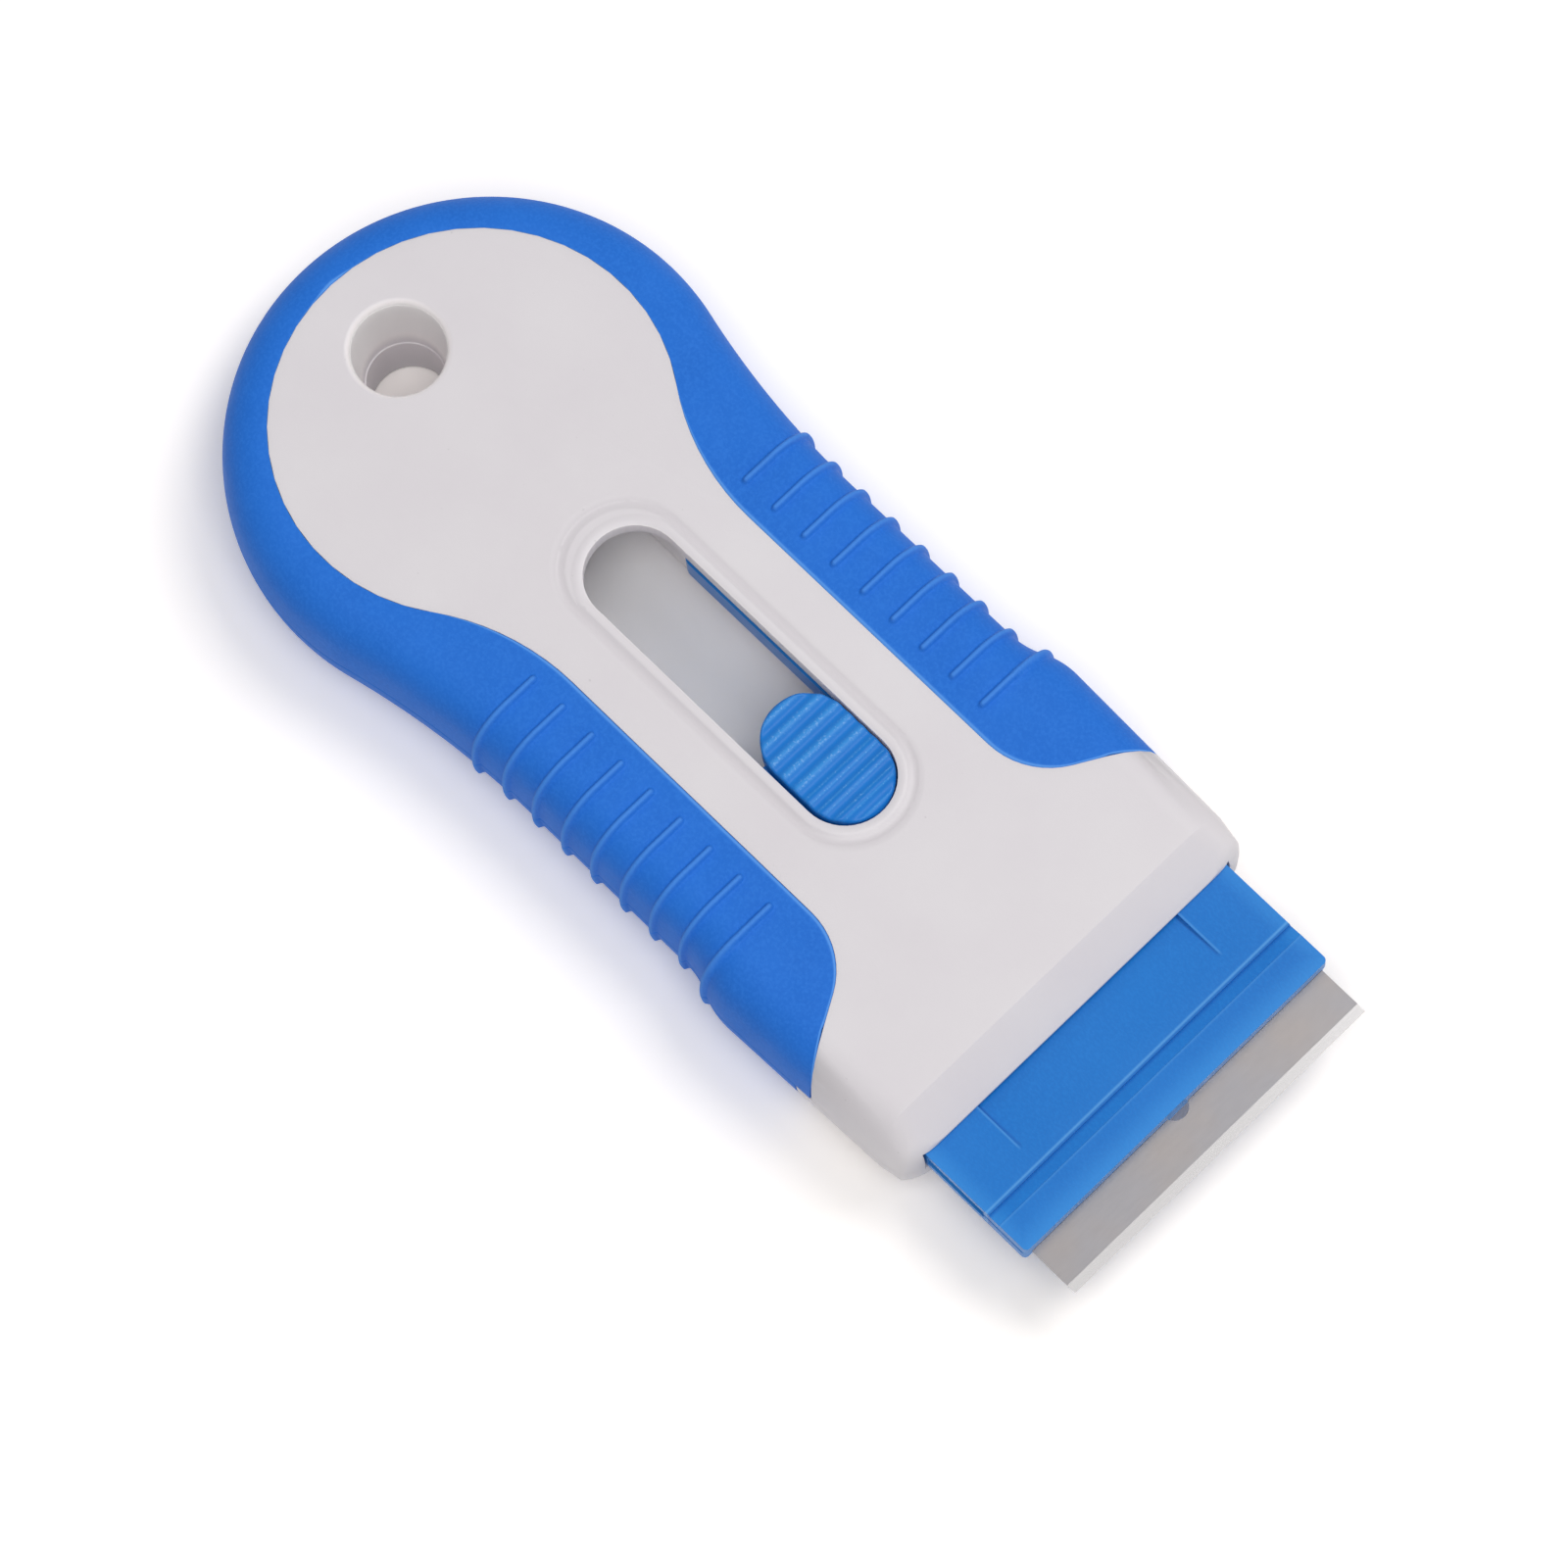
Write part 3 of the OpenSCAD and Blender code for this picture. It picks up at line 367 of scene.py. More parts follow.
buttonSkin = dict(mottleScale=240, scuffAndGlintScale=4200, glossScale=900, gloss=(0.26, 0.42),
                  bumpScale=2600, bump=0.12)

# Button plastic: the same blue, a little brighter along the crests, partly where thumbs polish them and
# partly as painted highlight
buttonPlastic, tree, shader = baseMaterial("buttonPlastic", tone["button"], 0.34, Specular_IOR_Level=0.28)
place = objectPlace(tree)
mottle = noise(tree, place, buttonSkin["mottleScale"], 4)
tint = ramp(tree, mottle, [(0.25, tone["buttonDeep"]), (0.75, tone["button"])])
tint = wornAndHighlit(tree, tint, tone["buttonWornAndHighlight"])
# and fine pale specks along the crests, partly scuffs and partly painted glints
rubbedAndLit = addNode(tree, "ShaderNodeAttribute", attribute_name="wearAndHighlight")
specks = noise(tree, place, buttonSkin["scuffAndGlintScale"], 2, 0.6)
specks = ramp(tree, specks, [(0.55, grey(0)), (0.66, grey(1))])
tint = blend(tree, calc(tree, "MULTIPLY", rubbedAndLit.outputs["Fac"], specks), tint, tone["buttonScuffAndGlint"])
tree.links.new(tint, shader.inputs["Base Color"])
uneven(tree, shader, noise(tree, place, buttonSkin["glossScale"], 3), 0.25, 0.75, *buttonSkin["gloss"])
bump(tree, shader, noise(tree, place, buttonSkin["bumpScale"], 2), buttonSkin["bump"])


# Rolled metal: streaks drawn out along one axis in colour and roughness, over a coarser, faint height.
def metalMaterial(name, colour, rough, grain, across, bumpAmount):
    mat, tree, shader = baseMaterial(name, colour, rough, 1.0)
    place = objectPlace(tree, grain)
    streak = noise(tree, place, across, 4, 0.6)
    dark = tuple(c * 0.975 for c in colour[:3]) + (1,)
    tree.links.new(ramp(tree, streak, [(0.25, dark), (0.75, colour)]), shader.inputs["Base Color"])
    uneven(tree, shader, streak, 0.2, 0.8, rough * 0.93, rough * 1.08)
    bump(tree, shader, noise(tree, place, across / 8, 2, 0.5), bumpAmount)
    return mat, tree, shader


# The ground strip's start is in metres along X
bladeLook = dict(stripFrom=(0.10896, 0.10904), stripRough=0.18, brownScale=110, blueScale=85, tintMost=0.35)

bladeSteel, tree, shader = metalMaterial("bladeSteel", tone["steel"], rough=0.3, grain=(1.0, 0.12, 1.0),
                                         across=5200, bumpAmount=0.004)
# patches of brown and blue heat tint, and the ground strip along the edge, which is brighter
tint = shader.inputs["Base Color"].links[0].from_socket
gloss = shader.inputs["Roughness"].links[0].from_socket
place = objectPlace(tree)
brown = noise(tree, place, bladeLook["brownScale"], 2)
brown = ramp(tree, brown, [(0.45, grey(0)), (0.7, grey(bladeLook["tintMost"]))])
blue = noise(tree, place, bladeLook["blueScale"], 2)
blue = ramp(tree, blue, [(0.3, grey(bladeLook["tintMost"])), (0.5, grey(0))])
tint = blend(tree, brown, tint, tone["steelBrown"])
tint = blend(tree, blue, tint, tone["steelBlue"])
strip = band(tree, "X", *bladeLook["stripFrom"], 1.0)
tree.links.new(blend(tree, strip, tint, tone["steelGround"]), shader.inputs["Base Color"])
tree.links.new(blend(tree, strip, gloss, grey(bladeLook["stripRough"])), shader.inputs["Roughness"])

spineMetal = metalMaterial("spineMetal", tone["spine"], rough=0.34, grain=(1.0, 0.08, 1.0),
                           across=3400, bumpAmount=0.02)[0]
springSteel = metalMaterial("springSteel", tone["spring"], rough=0.3, grain=(1.0, 1.0, 0.2),
                            across=2400, bumpAmount=0.1)[0]
screwSteel = metalMaterial("screwSteel", tone["screw"], rough=0.35, grain=(1.0, 1.0, 1.0),
                           across=1600, bumpAmount=0.1)[0]
print("stage: materials made")


# The handle's section and outline, in millimetres

handle = dict(headR=25.3, headX=11.4, waistHalf=21.85, waistX=40.0, flareX=61.0, flareLen=7.0,
              shoulderHalf=23.45, frontHalf=22.7, frontX=91.4, height=14.8, seam=7.8,
              sideR=17.0, sideTurn=12.5, skin=1.2, bareR=19.6, bareX=10.3, stripHalf=11.55,
              stripX=36.0, sweepX=68.0, sweepR=8.2, sweepTurn=60.0, underShift=3.5, tipX=82.0,
              ribRun=31.8)
runX = handle["waistX"] - handle["headX"]
waistR = ((runX ** 2 + handle["waistHalf"] ** 2 - handle["headR"] ** 2)
          / (2 * (handle["headR"] - handle["waistHalf"])))
waistA = np.arctan2(handle["waistHalf"] + waistR, runX)
flareA = 2 * np.arctan2(handle["shoulderHalf"] - handle["waistHalf"], handle["flareLen"])
flareR = handle["flareLen"] / 2 / np.sin(flareA)
taperRun = handle["frontX"] - handle["flareX"] - handle["flareLen"]
taperA = np.arctan2(handle["shoulderHalf"] - handle["frontHalf"], taperRun)


# The arc that curves the bare face in from the head's circle to the strip of the given half width:
# its radius, and the angle on the head's circle where the two meet.
def bareArc(half):
    run = handle["stripX"] - handle["bareX"]
    radius = (run ** 2 + half ** 2 - handle["bareR"] ** 2) / (2 * (handle["bareR"] - half))
    return radius, np.arctan2(half + radius, run)


# Half width of the bare face at x: a circle at the head, an arc curving in, a straight strip,
# and an arc and a straight line that sweep out to the side.
def bareHalf(x, half):
    arcR, meetTurn = bareArc(half)
    meet = handle["bareX"] + handle["bareR"] * np.cos(meetTurn)
    turn = np.radians(handle["sweepTurn"])
    lineX = handle["sweepX"] + handle["sweepR"] * np.sin(turn)
    lineY = half + handle["sweepR"] * (1 - np.cos(turn))
    circle = np.sqrt(np.maximum(handle["bareR"] ** 2 - (x - handle["bareX"]) ** 2, 0))
    inner = half + arcR - np.sqrt(np.maximum(arcR ** 2 - (handle["stripX"] - x) ** 2, 0))
    sweepRise = np.sqrt(np.maximum(handle["sweepR"] ** 2 - (x - handle["sweepX"]) ** 2, 0))
    sweep = half + handle["sweepR"] - sweepRise
    line = lineY + (x - lineX) * np.tan(turn)
    return np.select([x < meet, x < handle["stripX"], x < handle["sweepX"], x < lineX],
                     [circle, inner, half + 0 * x, sweep], line)


# The side of the handle from the rear of the head to just past the tip of the overmould:
# places and outward directions. An arc at the head, a hollow arc at the waist,
# a straight grip, a double curve at the shoulder and a slight taper.
def outlineSide(n):
    def row(x, y, outX, outY):
        return np.stack(np.broadcast_arrays(x, y, outX, outY), -1)

    headSteps, waistSteps, gripSteps, flareSteps, tipSteps = n
    th = np.linspace(np.pi, waistA, headSteps, endpoint=False)
    head = row(handle["headX"] + handle["headR"] * np.cos(th), handle["headR"] * np.sin(th),
               np.cos(th), np.sin(th))
    ribStart = np.arccos((handle["waistX"] - handle["ribRun"]) / waistR)
    plainSteps = waistSteps // 3   # the ribs begin in the last two thirds
    th = np.concatenate([np.linspace(waistA, ribStart, plainSteps, endpoint=False),
                         np.linspace(ribStart, np.pi / 2, waistSteps - plainSteps, endpoint=False)])
    waist = row(handle["waistX"] - waistR * np.cos(th), handle["waistHalf"] + waistR * (1 - np.sin(th)),
                np.cos(th), np.sin(th))
    x = np.linspace(handle["waistX"], handle["flareX"], gripSteps, endpoint=False)
    straight = row(x, handle["waistHalf"], 0.0, 1.0)
    th = np.pi / 2 + np.linspace(0, flareA, flareSteps, endpoint=False)
    flareOut = row(handle["flareX"] - flareR * np.cos(th), handle["waistHalf"] + flareR * (1 - np.sin(th)),
                   np.cos(th), np.sin(th))
    th = np.pi / 2 + np.linspace(flareA, -taperA, flareSteps, endpoint=False)
    cx, cy = handle["flareX"] + handle["flareLen"], handle["shoulderHalf"] - flareR
    flareBack = row(cx + flareR * np.cos(th), cy + flareR * np.sin(th), np.cos(th), np.sin(th))
    x0, y0 = cx + flareR * np.sin(taperA), cy + flareR * np.cos(taperA)
    x = np.linspace(x0, handle["tipX"], tipSteps)
    taper = row(x, y0 - (x - x0) * np.tan(taperA), np.sin(taperA), np.cos(taperA))
    return np.concatenate([head, waist, straight, flareOut, flareBack, taper])


# Side of a half from the seam upwards: a wide arc that bulges, then a tighter one that rounds
# over into the flat face. Gives the run along it, how far it is drawn in, its height and its slope.
def profile(half, steps=48):
    turn = np.radians(handle["sideTurn"])
    edgeR = (half - handle["sideR"] * np.sin(turn)) / (1 - np.sin(turn))
    a = np.concatenate([np.linspace(0, turn, steps // 3, endpoint=False),
                        np.linspace(turn, np.pi / 2, steps)])
    bulge = np.minimum(a, turn)
    run = handle["sideR"] * bulge + edgeR * (a - bulge)
    drawn = handle["sideR"] * (1 - np.cos(bulge)) + edgeR * (np.cos(bulge) - np.cos(a))
    high = handle["sideR"] * np.sin(bulge) + edgeR * (np.sin(a) - np.sin(bulge))
    return run, drawn, high, a


# The overmould, in millimetres. crowd is how much closer the rows stand at a share of the way up.
gripLook = dict(lipR=0.28, seamR=0.22, ribX=33.17, ribPitch=3.966, ribs=9, ribHalf=0.3, ribSoft=0.4,
                ribHigh=0.5, ribIn=13.5, ribDrop=3.4, ribFade=0.5, crestLight=0.34, lipLight=0.7,
                lipWide=0.22, tipGap=0.25, skinShare=0.92, lowest=0.012,
                outline=(100, 126, 212, 52, 44), rows=62, innerRows=5,
                crowdUp=1.6, crowdUpAt=0.72, crowdUpFirm=40,
                crowdLow=1.4, crowdLowAt=0.34, crowdLowWide=0.06)


# Height of the ribs: rounded bars across the grip, one each ribPitch, with round inner ends,
# and round lower ends ribDrop below the seam.
def ribLift(x, y, below):
    look = gripLook
    i = np.clip(np.round((x - look["ribX"]) / look["ribPitch"]), 0, look["ribs"] - 1)
    dx = np.abs(x - (look["ribX"] + i * look["ribPitch"]))
    wide = look["ribHalf"] + look["ribSoft"] / 2
    endIn = np.maximum(look["ribIn"] + wide - np.abs(y), 0)
    endLow = np.maximum(below - (look["ribDrop"] - wide), 0)
    d = np.sqrt(dx ** 2 + endIn ** 2 + endLow ** 2)
    t = np.clip((wide - d) / look["ribSoft"], 0, 1)
    return look["ribHigh"] * t * t * (3 - 2 * t)


# Overmould of one half: for each place along the outline, a closed section that climbs from the
# seam over the edge to the bare face, rounds down into its groove and comes back under the skin.
def gripPoints(upper):
    look = gripLook
    half = handle["height"] - handle["seam"] if upper else handle["seam"]
    strip = handle["stripHalf"] if upper else handle["stripHalf"] + handle["underShift"]
    run, drawn, high, slope = profile(half)
    side = outlineSide(look["outline"])
    place, out = side[:, :2], side[:, 2:]
    keepX = bareHalf(place[:, 0], strip) < place[:, 1] - look["tipGap"]
    last = np.where(keepX)[0].max()
    place, out = place[:last + 1], out[:last + 1]
    edge = place - out * drawn[-1]
    # where each section meets the bare face, first guess straight in, at the head along the radius
    bareA = bareArc(strip)[1]
    meetX = handle["bareX"] + handle["bareR"] * np.cos(bareA)
    theta = np.arctan2(out[:, 1], out[:, 0])
    joinX = handle["headX"] + handle["headR"] * np.cos(waistA)
    onHead = place[:, 0] <= joinX + 1e-9
    frac = (np.pi - theta) / (np.pi - waistA)
    aroundHead = handle["bareX"] + handle["bareR"] * np.cos(np.pi - frac * (np.pi - bareA))
    targetX = np.where(onHead, aroundHead, place[:, 0])
    mid = (~onHead) & (place[:, 0] < handle["waistX"])
    share = (place[:, 0] - joinX) / (handle["waistX"] - joinX)
    targetX = np.where(mid, meetX + share * (handle["waistX"] - meetX), targetX)
    target = np.stack([targetX, bareHalf(targetX, strip)], -1)
    target[0, 1] = 0.0
    flatLen = np.linalg.norm(target - edge, axis=1)
    onFlat = target[:, 1] < edge[:, 1]
    onFlat[onHead] = True
    cut = np.interp(place[:, 1] - target[:, 1], drawn, run)
    total = np.where(onFlat, run[-1] + flatLen, cut)
    # rows: the seam rounding, the skin, the rounded lip and the wall down to the skin's underside,
    # closest where the ribs end, which is near the lip, and on the lower half near their lower ends
    v = np.linspace(0, 1, 400)
    crowd = 1 + look["crowdUp"] / (1 + np.exp((look["crowdUpAt"] - v) * look["crowdUpFirm"]))
    if not upper:
        crowd = crowd + look["crowdLow"] * np.exp(-((v - look["crowdLowAt"]) / look["crowdLowWide"]) ** 2)
    crowd = np.concatenate([[0], np.cumsum((crowd[1:] + crowd[:-1]) / 2)])
    v = np.interp(np.linspace(0, 1, look["rows"]), crowd / crowd[-1], v)
    a = look["seamR"] + v[None, :] * (total - look["lipR"] - look["seamR"])[:, None]
    inward = (target - edge) / np.maximum(flatLen, 1e-6)[:, None]

    def surface(a, lift):
        d = np.interp(a, run, drawn)
        z = np.interp(a, run, high)
        s = np.interp(a, run, slope)
        past = np.maximum(a - run[-1], 0)
        xy = place[:, None] - out[:, None] * d[..., None] + inward[:, None] * past[..., None]
        n = np.concatenate([out[:, None] * np.cos(s)[..., None], np.sin(s)[..., None]], -1)
        return np.concatenate([xy, z[..., None]], -1) + n * lift[..., None]

    base = surface(a, 0 * a)
    below = np.zeros_like(a) if upper else base[..., 2]
    ribs = ribLift(base[..., 0], base[..., 1], below)
    fade = np.clip((total[:, None] - a - look["lipR"]) / look["ribFade"], 0, 1)
    outer = surface(a, ribs * fade)
    f = np.linspace(0, np.pi / 2, 7)[1:]
    lipA = (total - look["lipR"])[:, None] + look["lipR"] * np.sin(f)[None, :]
    lip = surface(lipA, -look["lipR"] * (1 - np.cos(f))[None, :] + 0 * lipA)
    inA = total[:, None] * np.linspace(1, 0, look["innerRows"])[None, :]
    inner = surface(inA, -handle["skin"] * look["skinShare"] + 0 * inA)
    ribAtSeam = ribLift(place[:, 0], place[:, 1], 0 * place[:, 0])[:, None]
    seamLift = ribAtSeam - look["seamR"] * (1 - np.sin(f))[None, :]
    seam = surface(look["seamR"] * (1 - np.cos(f))[None, :] + 0 * total[:, None], seamLift)
    section = np.concatenate([seam, outer, lip, inner], 1)
    # partly where hands polish and partly painted highlight: the crests of the ribs and the rounded lip
    nearLip = np.clip(1 - (total[:, None] - look["lipR"] - a) / look["lipWide"], 0, 1) ** 2
    crest = np.maximum(look["crestLight"] * (ribs * fade / look["ribHigh"]) ** 1.5,
                       look["lipLight"] * nearLip)
    wearAndHighlight = np.concatenate([look["crestLight"] * (ribAtSeam / look["ribHigh"]) ** 2 + 0 * seam[..., 0], crest,
                           look["lipLight"] + 0 * lip[..., 0], 0 * inner[..., 0]], 1)
    section[..., 2] = np.maximum(section[..., 2], look["lowest"])
    section[..., 2] = handle["seam"] + section[..., 2] * (1 if upper else -1)
    mirrored = section[1:][::-1].copy()
    mirrored[..., 1] *= -1
    section[0, :, 1] = 0.0
    return np.concatenate([mirrored, section]), np.concatenate([wearAndHighlight[1:][::-1], wearAndHighlight])


for upper, node, name in ((True, "upper_grip", "upperGrip"), (False, "lower_grip", "lowerGrip")):
    points, wearAndHighlight = gripPoints(upper)
    grip = meshFromGrid(name, points, gripRubber, 60, wearAndHighlight)
    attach(grip, "housing")
    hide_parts(node)
print("stage: grips")

for node, name in (("upper_shell", "upperShell"), ("lower_shell", "lowerShell")):
    shell = copyOfNode(node, name, shellPlastic, smooth=34)
    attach(shell, "housing")
    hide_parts(node)
print("stage: shells")

carrier = copyOfNode("blade_carrier", "carrier", carrierPlastic, smooth=30, bevel=0.1)
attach(carrier, "carrier")
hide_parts("blade_carrier")

# In millimetres, but for the light on the crests, which is a share
buttonLook = dict(length=14.3, front=65.45, half=4.55, top=15.1, under=12.0, rim=0.3,
                  firstCrest=53.45, pitch=1.675, waveHigh=0.24, dish=0.25, noseFrom=63.2, noseDrop=0.8,
                  lean=0.12, shouldersFrom=58.5, shouldersOver=1.5, shoulderAt=0.66, shoulderWide=0.14,
                  crestLight=0.45,
                  flangeIn=3.0, flangeOut=1.15, flangeHalf=6.18, flangeLow=11.55, flangeTop=12.7, flangeR=0.6,
                  flangeSoft=0.12, postR=1.4, postEnd=4.175, postSoft=0.05, postRoot=0.4, barb=0.4,
                  steps=300, arcSteps=100, rings=46, wallRows=5)


# Thumb button: an obround cap, dished along its length and crossed by rounded waves with a narrow crest,
# rounded over at its rim; under it the plate that rides below the slot and the post that carries the spring.
def buttonMesh():
    look = buttonLook
    rear = look["front"] - look["length"]
    c0, c1 = rear + look["half"], look["front"] - look["half"]
    # round the edge: two straight sides and two half circles, with the matching place on the middle line
    arc = np.linspace(-np.pi / 2, np.pi / 2, look["arcSteps"], endpoint=False)
    line = np.linspace(0, 1, look["steps"] // 2 - look["arcSteps"], endpoint=False)
    front = np.stack([c1 + look["half"] * np.cos(arc), look["half"] * np.sin(arc), c1 + 0 * arc], -1)
    upper = np.stack([c1 + (c0 - c1) * line, look["half"] + 0 * line, c1 + (c0 - c1) * line], -1)
    back = np.stack([c0 - look["half"] * np.cos(arc), -look["half"] * np.sin(arc), c0 + 0 * arc], -1)
    lower = np.stack([c0 + (c1 - c0) * line, -look["half"] + 0 * line, c0 + (c1 - c0) * line], -1)
    edge = np.concatenate([front, upper, back, lower])
    out = (1 - (1 - np.linspace(0, 1, look["rings"])) ** 1.6)[:, None]
    x = edge[None, :, 2] + (edge[None, :, 0] - edge[None, :, 2]) * out
    y = edge[None, :, 1] * out
    t = (x - rear) / look["length"]
    wave = (1 + np.cos(2 * np.pi * (x - look["firstCrest"]) / look["pitch"])) / 2
    fromRim = look["half"] * (1 - out) + 0 * x
    intoRim = np.maximum(look["rim"] - fromRim, 0)
    rounding = look["rim"] - np.sqrt(np.maximum(look["rim"] ** 2 - intoRim ** 2, 0))
    nose = look["noseDrop"] * (np.maximum(x - look["noseFrom"], 0) / (look["front"] - look["noseFrom"])) ** 2
    z = look["top"] - look["waveHigh"] * (1 - wave) - look["dish"] * (1 - (2 * t - 1) ** 2) - rounding - nose
    # painted highlight with some thumb polish: towards the rear along a crest's middle, towards the front
    # along both its shoulders
    ahead = np.clip((x - look["shouldersFrom"]) / look["shouldersOver"], 0, 1)
    shoulder = np.exp(-((wave - look["shoulderAt"]) / look["shoulderWide"]) ** 2)
    crest = look["crestLight"] * (wave ** 3 * (1 - ahead) + shoulder * ahead) * np.clip(fromRim / 0.5, 0.3, 1)
    top = np.stack([x, y, z], -1)
    wall = top[-1][None].repeat(look["wallRows"], 0)
    wall[..., 2] += (look["under"] - wall[..., 2]) * np.linspace(0.25, 1, look["wallRows"])[:, None]
    floor = wall[-1:].copy()
    floor[..., 0], floor[..., 1] = edge[:, 2], 0
    rings = np.concatenate([top, wall, floor])
    rings[..., 1] += look["lean"]   # the cap leans to one side of the slot within its play
    faces = ringQuads(*rings.shape[:2]).tolist()
    points = [rings.reshape(-1, 3)]

    # Closed prism on a plan outline, with its top and bottom edges cut back by soft.
    def addPrism(plan, low, high, soft):
        base = sum(len(part) for part in points)
        mid = plan.mean(0)
        shrink = 1 - soft / np.abs(plan - mid).max(0)
        levels = [(low, shrink), (low + soft, 1), (high - soft, 1), (high, shrink)]
        count = len(plan)
        tiers = [np.concatenate([mid + (plan - mid) * share, np.full((count, 1), level)], 1)
                 for level, share in levels]
        points.append(np.concatenate(tiers))
        ends = base + np.arange(len(levels) * count).reshape(len(levels), count)
        faces.extend(ringQuads(len(levels), count, base).tolist())
        faces.extend([ends[0, ::-1].tolist(), ends[-1].tolist()])

    x0, x1 = rear + look["flangeIn"], look["front"] - look["flangeOut"]
    hw, r = look["flangeHalf"], look["flangeR"]
    corner = np.linspace(0, np.pi / 2, 7)
    corners = ((x1 - r, hw - r, 0), (x0 + r, hw - r, np.pi / 2),
               (x0 + r, r - hw, np.pi), (x1 - r, r - hw, 1.5 * np.pi))
    plate = np.concatenate([np.stack([cx + r * np.cos(corner + q), cy + r * np.sin(corner + q)], -1)
                            for cx, cy, q in corners])
    addPrism(plate, look["flangeLow"], look["flangeTop"], look["flangeSoft"])
    turn = np.linspace(0, 2 * np.pi, 40, endpoint=False)
    ring = np.stack([np.cos(turn), np.sin(turn)], -1)
    mid = np.array([(rear + look["front"]) / 2, 0.0])
    postLow, postHigh = look["postEnd"] + look["postR"] * 0.9, look["flangeLow"] + look["postRoot"]
    addPrism(mid + look["postR"] * ring, postLow, postHigh, look["postSoft"])
    barbR, barbHigh = look["postR"] + look["barb"], look["postEnd"] + look["postR"]
    addPrism(mid + barbR * ring, look["postEnd"], barbHigh, look["barb"])
    places = np.concatenate(points)
    wearAndHighlight = np.zeros(len(places))
    wearAndHighlight[:crest.size] = crest.ravel()
    return meshFromPoints("thumbButton", places, faces, buttonPlastic, 50, wearAndHighlight)


button = buttonMesh()
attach(button, "button")
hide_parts("thumb_button")

# Button spring: a round wire wound up at an even pitch. The wire's middle goes round the button's axis
# and up in equal parts; round it stand the points of a circle, turned to face outwards and up. It
# stands in the cup.
coilLook = dict(x=58.25, coil=2.15, wire=0.25, turns=4.5, low=6.778, high=11.217, seat=6.45, keep=0.76,
                steps=48, sides=14)


def coilPoints():
    look = coilLook
    turn = np.linspace(0, 2 * np.pi * look["turns"], int(look["steps"] * look["turns"]) + 1)[:, None]
    side = np.linspace(0, 2 * np.pi, look["sides"] + 1)[:-1][None]
    reach = look["coil"] + look["wire"] * np.cos(side)
    rise = look["low"] + (look["high"] - look["low"]) * turn / turn[-1]
    return np.stack([look["x"] + reach * np.cos(turn), reach * np.sin(turn),
                     rise + look["wire"] * np.sin(side)], -1)


coil = meshFromGrid("buttonCoil", coilPoints(), springSteel, 60)
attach(coil, "carrier")
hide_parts("button_spring")
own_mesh(coil)
print("stage: carrier, button and spring")


def dress(node, mat):
    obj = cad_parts[node]
    if not obj.data.materials:
        obj.data.materials.append(mat)
    for slot in obj.material_slots:
        slot.material = mat


dress("blade", bladeSteel)
dress("blade_spine", spineMetal)
dress("shell_screws", screwSteel)
print("stage: metal")

# Floor, light and camera
stage = dict(floorSize=3.0, floorHigh=-0.0002, floorPlain=0.85, floorSeen=(1.25, 1.205, 1.165), world=0.33,
             key=5.8, keySize=0.6, keyFrom=(0.2, 0.56, 1.0), keyAway=1.3,
             fill=9.4, fillSize=0.95, fillShift=(0.04, -0.02, 0), fillAway=1.5, aim=(0.045, 0.0, 0.0))


# 1 for rays that look at the background: straight from the camera, in a gloss or through something clear.
def lookingRay(tree):
    path = addNode(tree, "ShaderNodeLightPath")
    seen = calc(tree, "MAXIMUM", path.outputs["Is Camera Ray"], path.outputs["Is Glossy Ray"])
    return calc(tree, "MAXIMUM", seen, path.outputs["Is Transmission Ray"])


# One shader for ordinary light and another for what is looked at as background.
def pickShader(tree, plain, seen, output):
    pick = addNode(tree, "ShaderNodeMixShader")
    tree.links.new(lookingRay(tree), pick.inputs[0])
    tree.links.new(plain.outputs[0], pick.inputs[1])
    tree.links.new(seen.outputs[0], pick.inputs[2])
    tree.links.new(pick.outputs[0], output.inputs["Surface"])


floorMesh = bpy.data.meshes.new("floor")
reach, low = stage["floorSize"], stage["floorHigh"]
floorMesh.from_pydata([(-reach, -reach, low), (reach, -reach, low),
                       (reach, reach, low), (-reach, reach, low)], [], [(0, 1, 2, 3)])
floor = bpy.data.objects.new("floor", floorMesh)
bpy.context.scene.collection.objects.link(floor)
floorPaper = bpy.data.materials.new("floorPaper")
floorPaper.use_nodes = True
tree = floorPaper.node_tree
tree.nodes.clear()
output = addNode(tree, "ShaderNodeOutputMaterial")
# looked at, the paper is bright enough to come out white; the light it gives back stays ordinary
plain = addNode(tree, "ShaderNodeBsdfDiffuse", Color=(stage["floorPlain"],) * 3 + (1,))
bright = addNode(tree, "ShaderNodeBsdfDiffuse", Color=stage["floorSeen"] + (1,))
pickShader(tree, plain, bright, output)
floorMesh.materials.append(floorPaper)

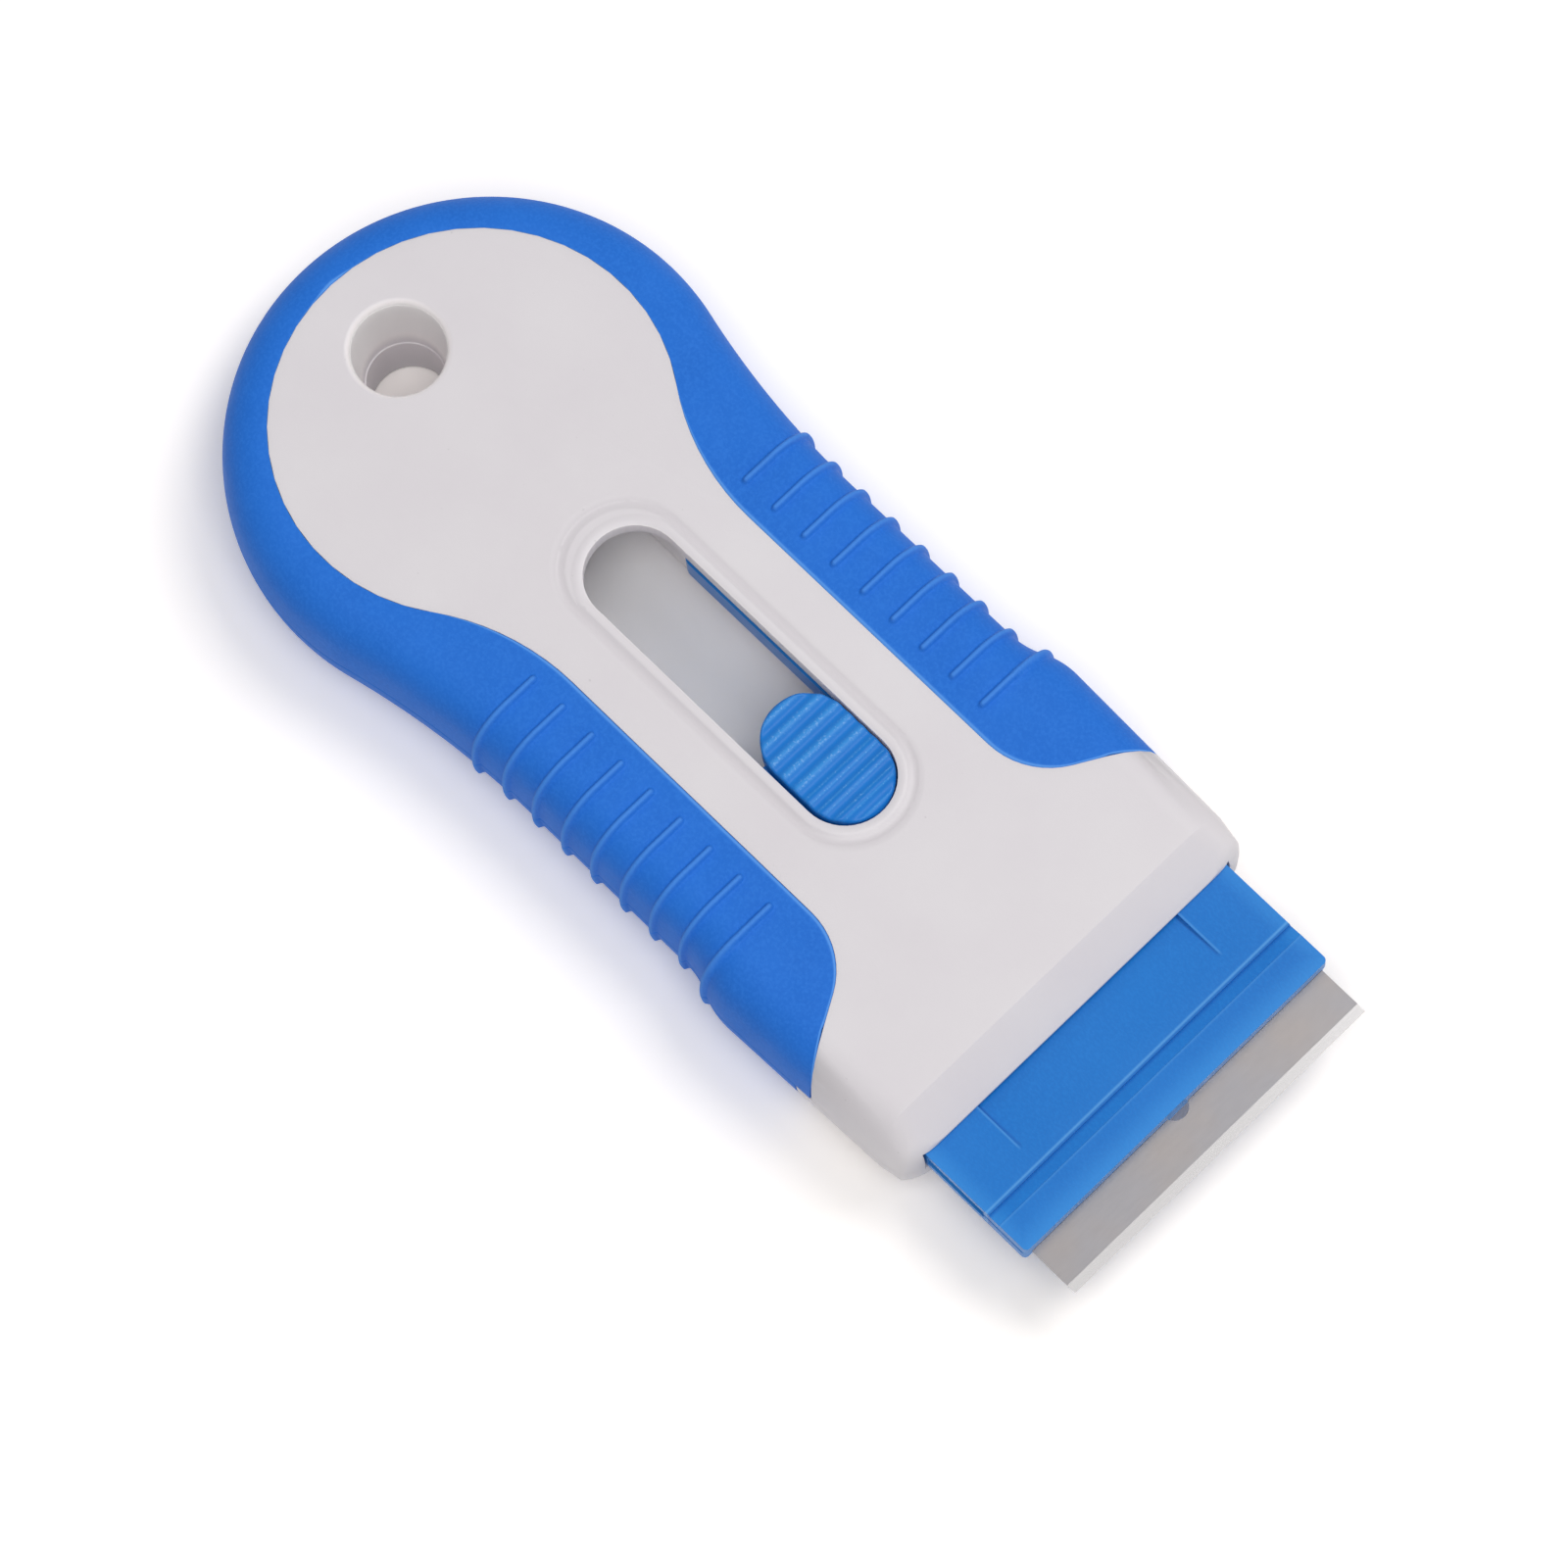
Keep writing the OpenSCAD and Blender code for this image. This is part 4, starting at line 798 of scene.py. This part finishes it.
world = bpy.data.worlds.new("studio")
bpy.context.scene.world = world
world.use_nodes = True
tree = world.node_tree
tree.nodes.clear()
output = addNode(tree, "ShaderNodeOutputWorld")
soft = addNode(tree, "ShaderNodeBackground", Color=(1, 1, 1, 1), Strength=stage["world"])
white = addNode(tree, "ShaderNodeBackground", Color=(1, 1, 1, 1), Strength=1.0)
pickShader(tree, soft, white, output)

# camera axes: right, up and back, solved from the photograph's outline
view = dict(at=(243.79, -142.01, 717.1), right=(0.69868, 0.71396, -0.04587),
            forward=(-0.2522, 0.1858, -0.9497), lens=181.97)
right = np.array(view["right"])
forward = np.array(view["forward"]) / np.linalg.norm(view["forward"])
right = right - forward * right.dot(forward)
right /= np.linalg.norm(right)
up = np.cross(right, forward)
cameraData = bpy.data.cameras.new("photoCamera")
cameraData.lens, cameraData.sensor_width = view["lens"], 36
cameraData.clip_start, cameraData.clip_end = 0.01, 20
camera = bpy.data.objects.new("photoCamera", cameraData)
place = np.eye(4)
place[:3, 0], place[:3, 1], place[:3, 2], place[:3, 3] = right, up, -forward, np.array(view["at"]) * mm
camera.matrix_world = Matrix(place.tolist())
bpy.context.scene.collection.objects.link(camera)
bpy.context.scene.camera = camera


# Square light that looks at the middle of the handle from the given direction.
def softbox(name, towards, distance, size, power):
    data = bpy.data.lights.new(name, "AREA")
    data.shape, data.size, data.energy = "SQUARE", size, power
    lamp = bpy.data.objects.new(name, data)
    back = np.array(towards, float)
    back /= np.linalg.norm(back)
    side = np.cross([0, 0, 1.0], back)
    side /= np.linalg.norm(side)
    pose = np.eye(4)
    pose[:3, 0], pose[:3, 1], pose[:3, 2] = side, np.cross(back, side), back
    pose[:3, 3] = np.array(stage["aim"]) + back * distance
    lamp.matrix_world = Matrix(pose.tolist())
    bpy.context.scene.collection.objects.link(lamp)


# the key stands to the upper right of the picture, past what the flat steel mirrors, and the fill
# behind the camera
softbox("keyLight", stage["keyFrom"], stage["keyAway"], stage["keySize"], stage["key"])
softbox("fillLight", np.array(stage["fillShift"]) - forward, stage["fillAway"], stage["fillSize"],
        stage["fill"])
bpy.context.scene.view_settings.view_transform = "Standard"
print("stage: floor, light and camera")
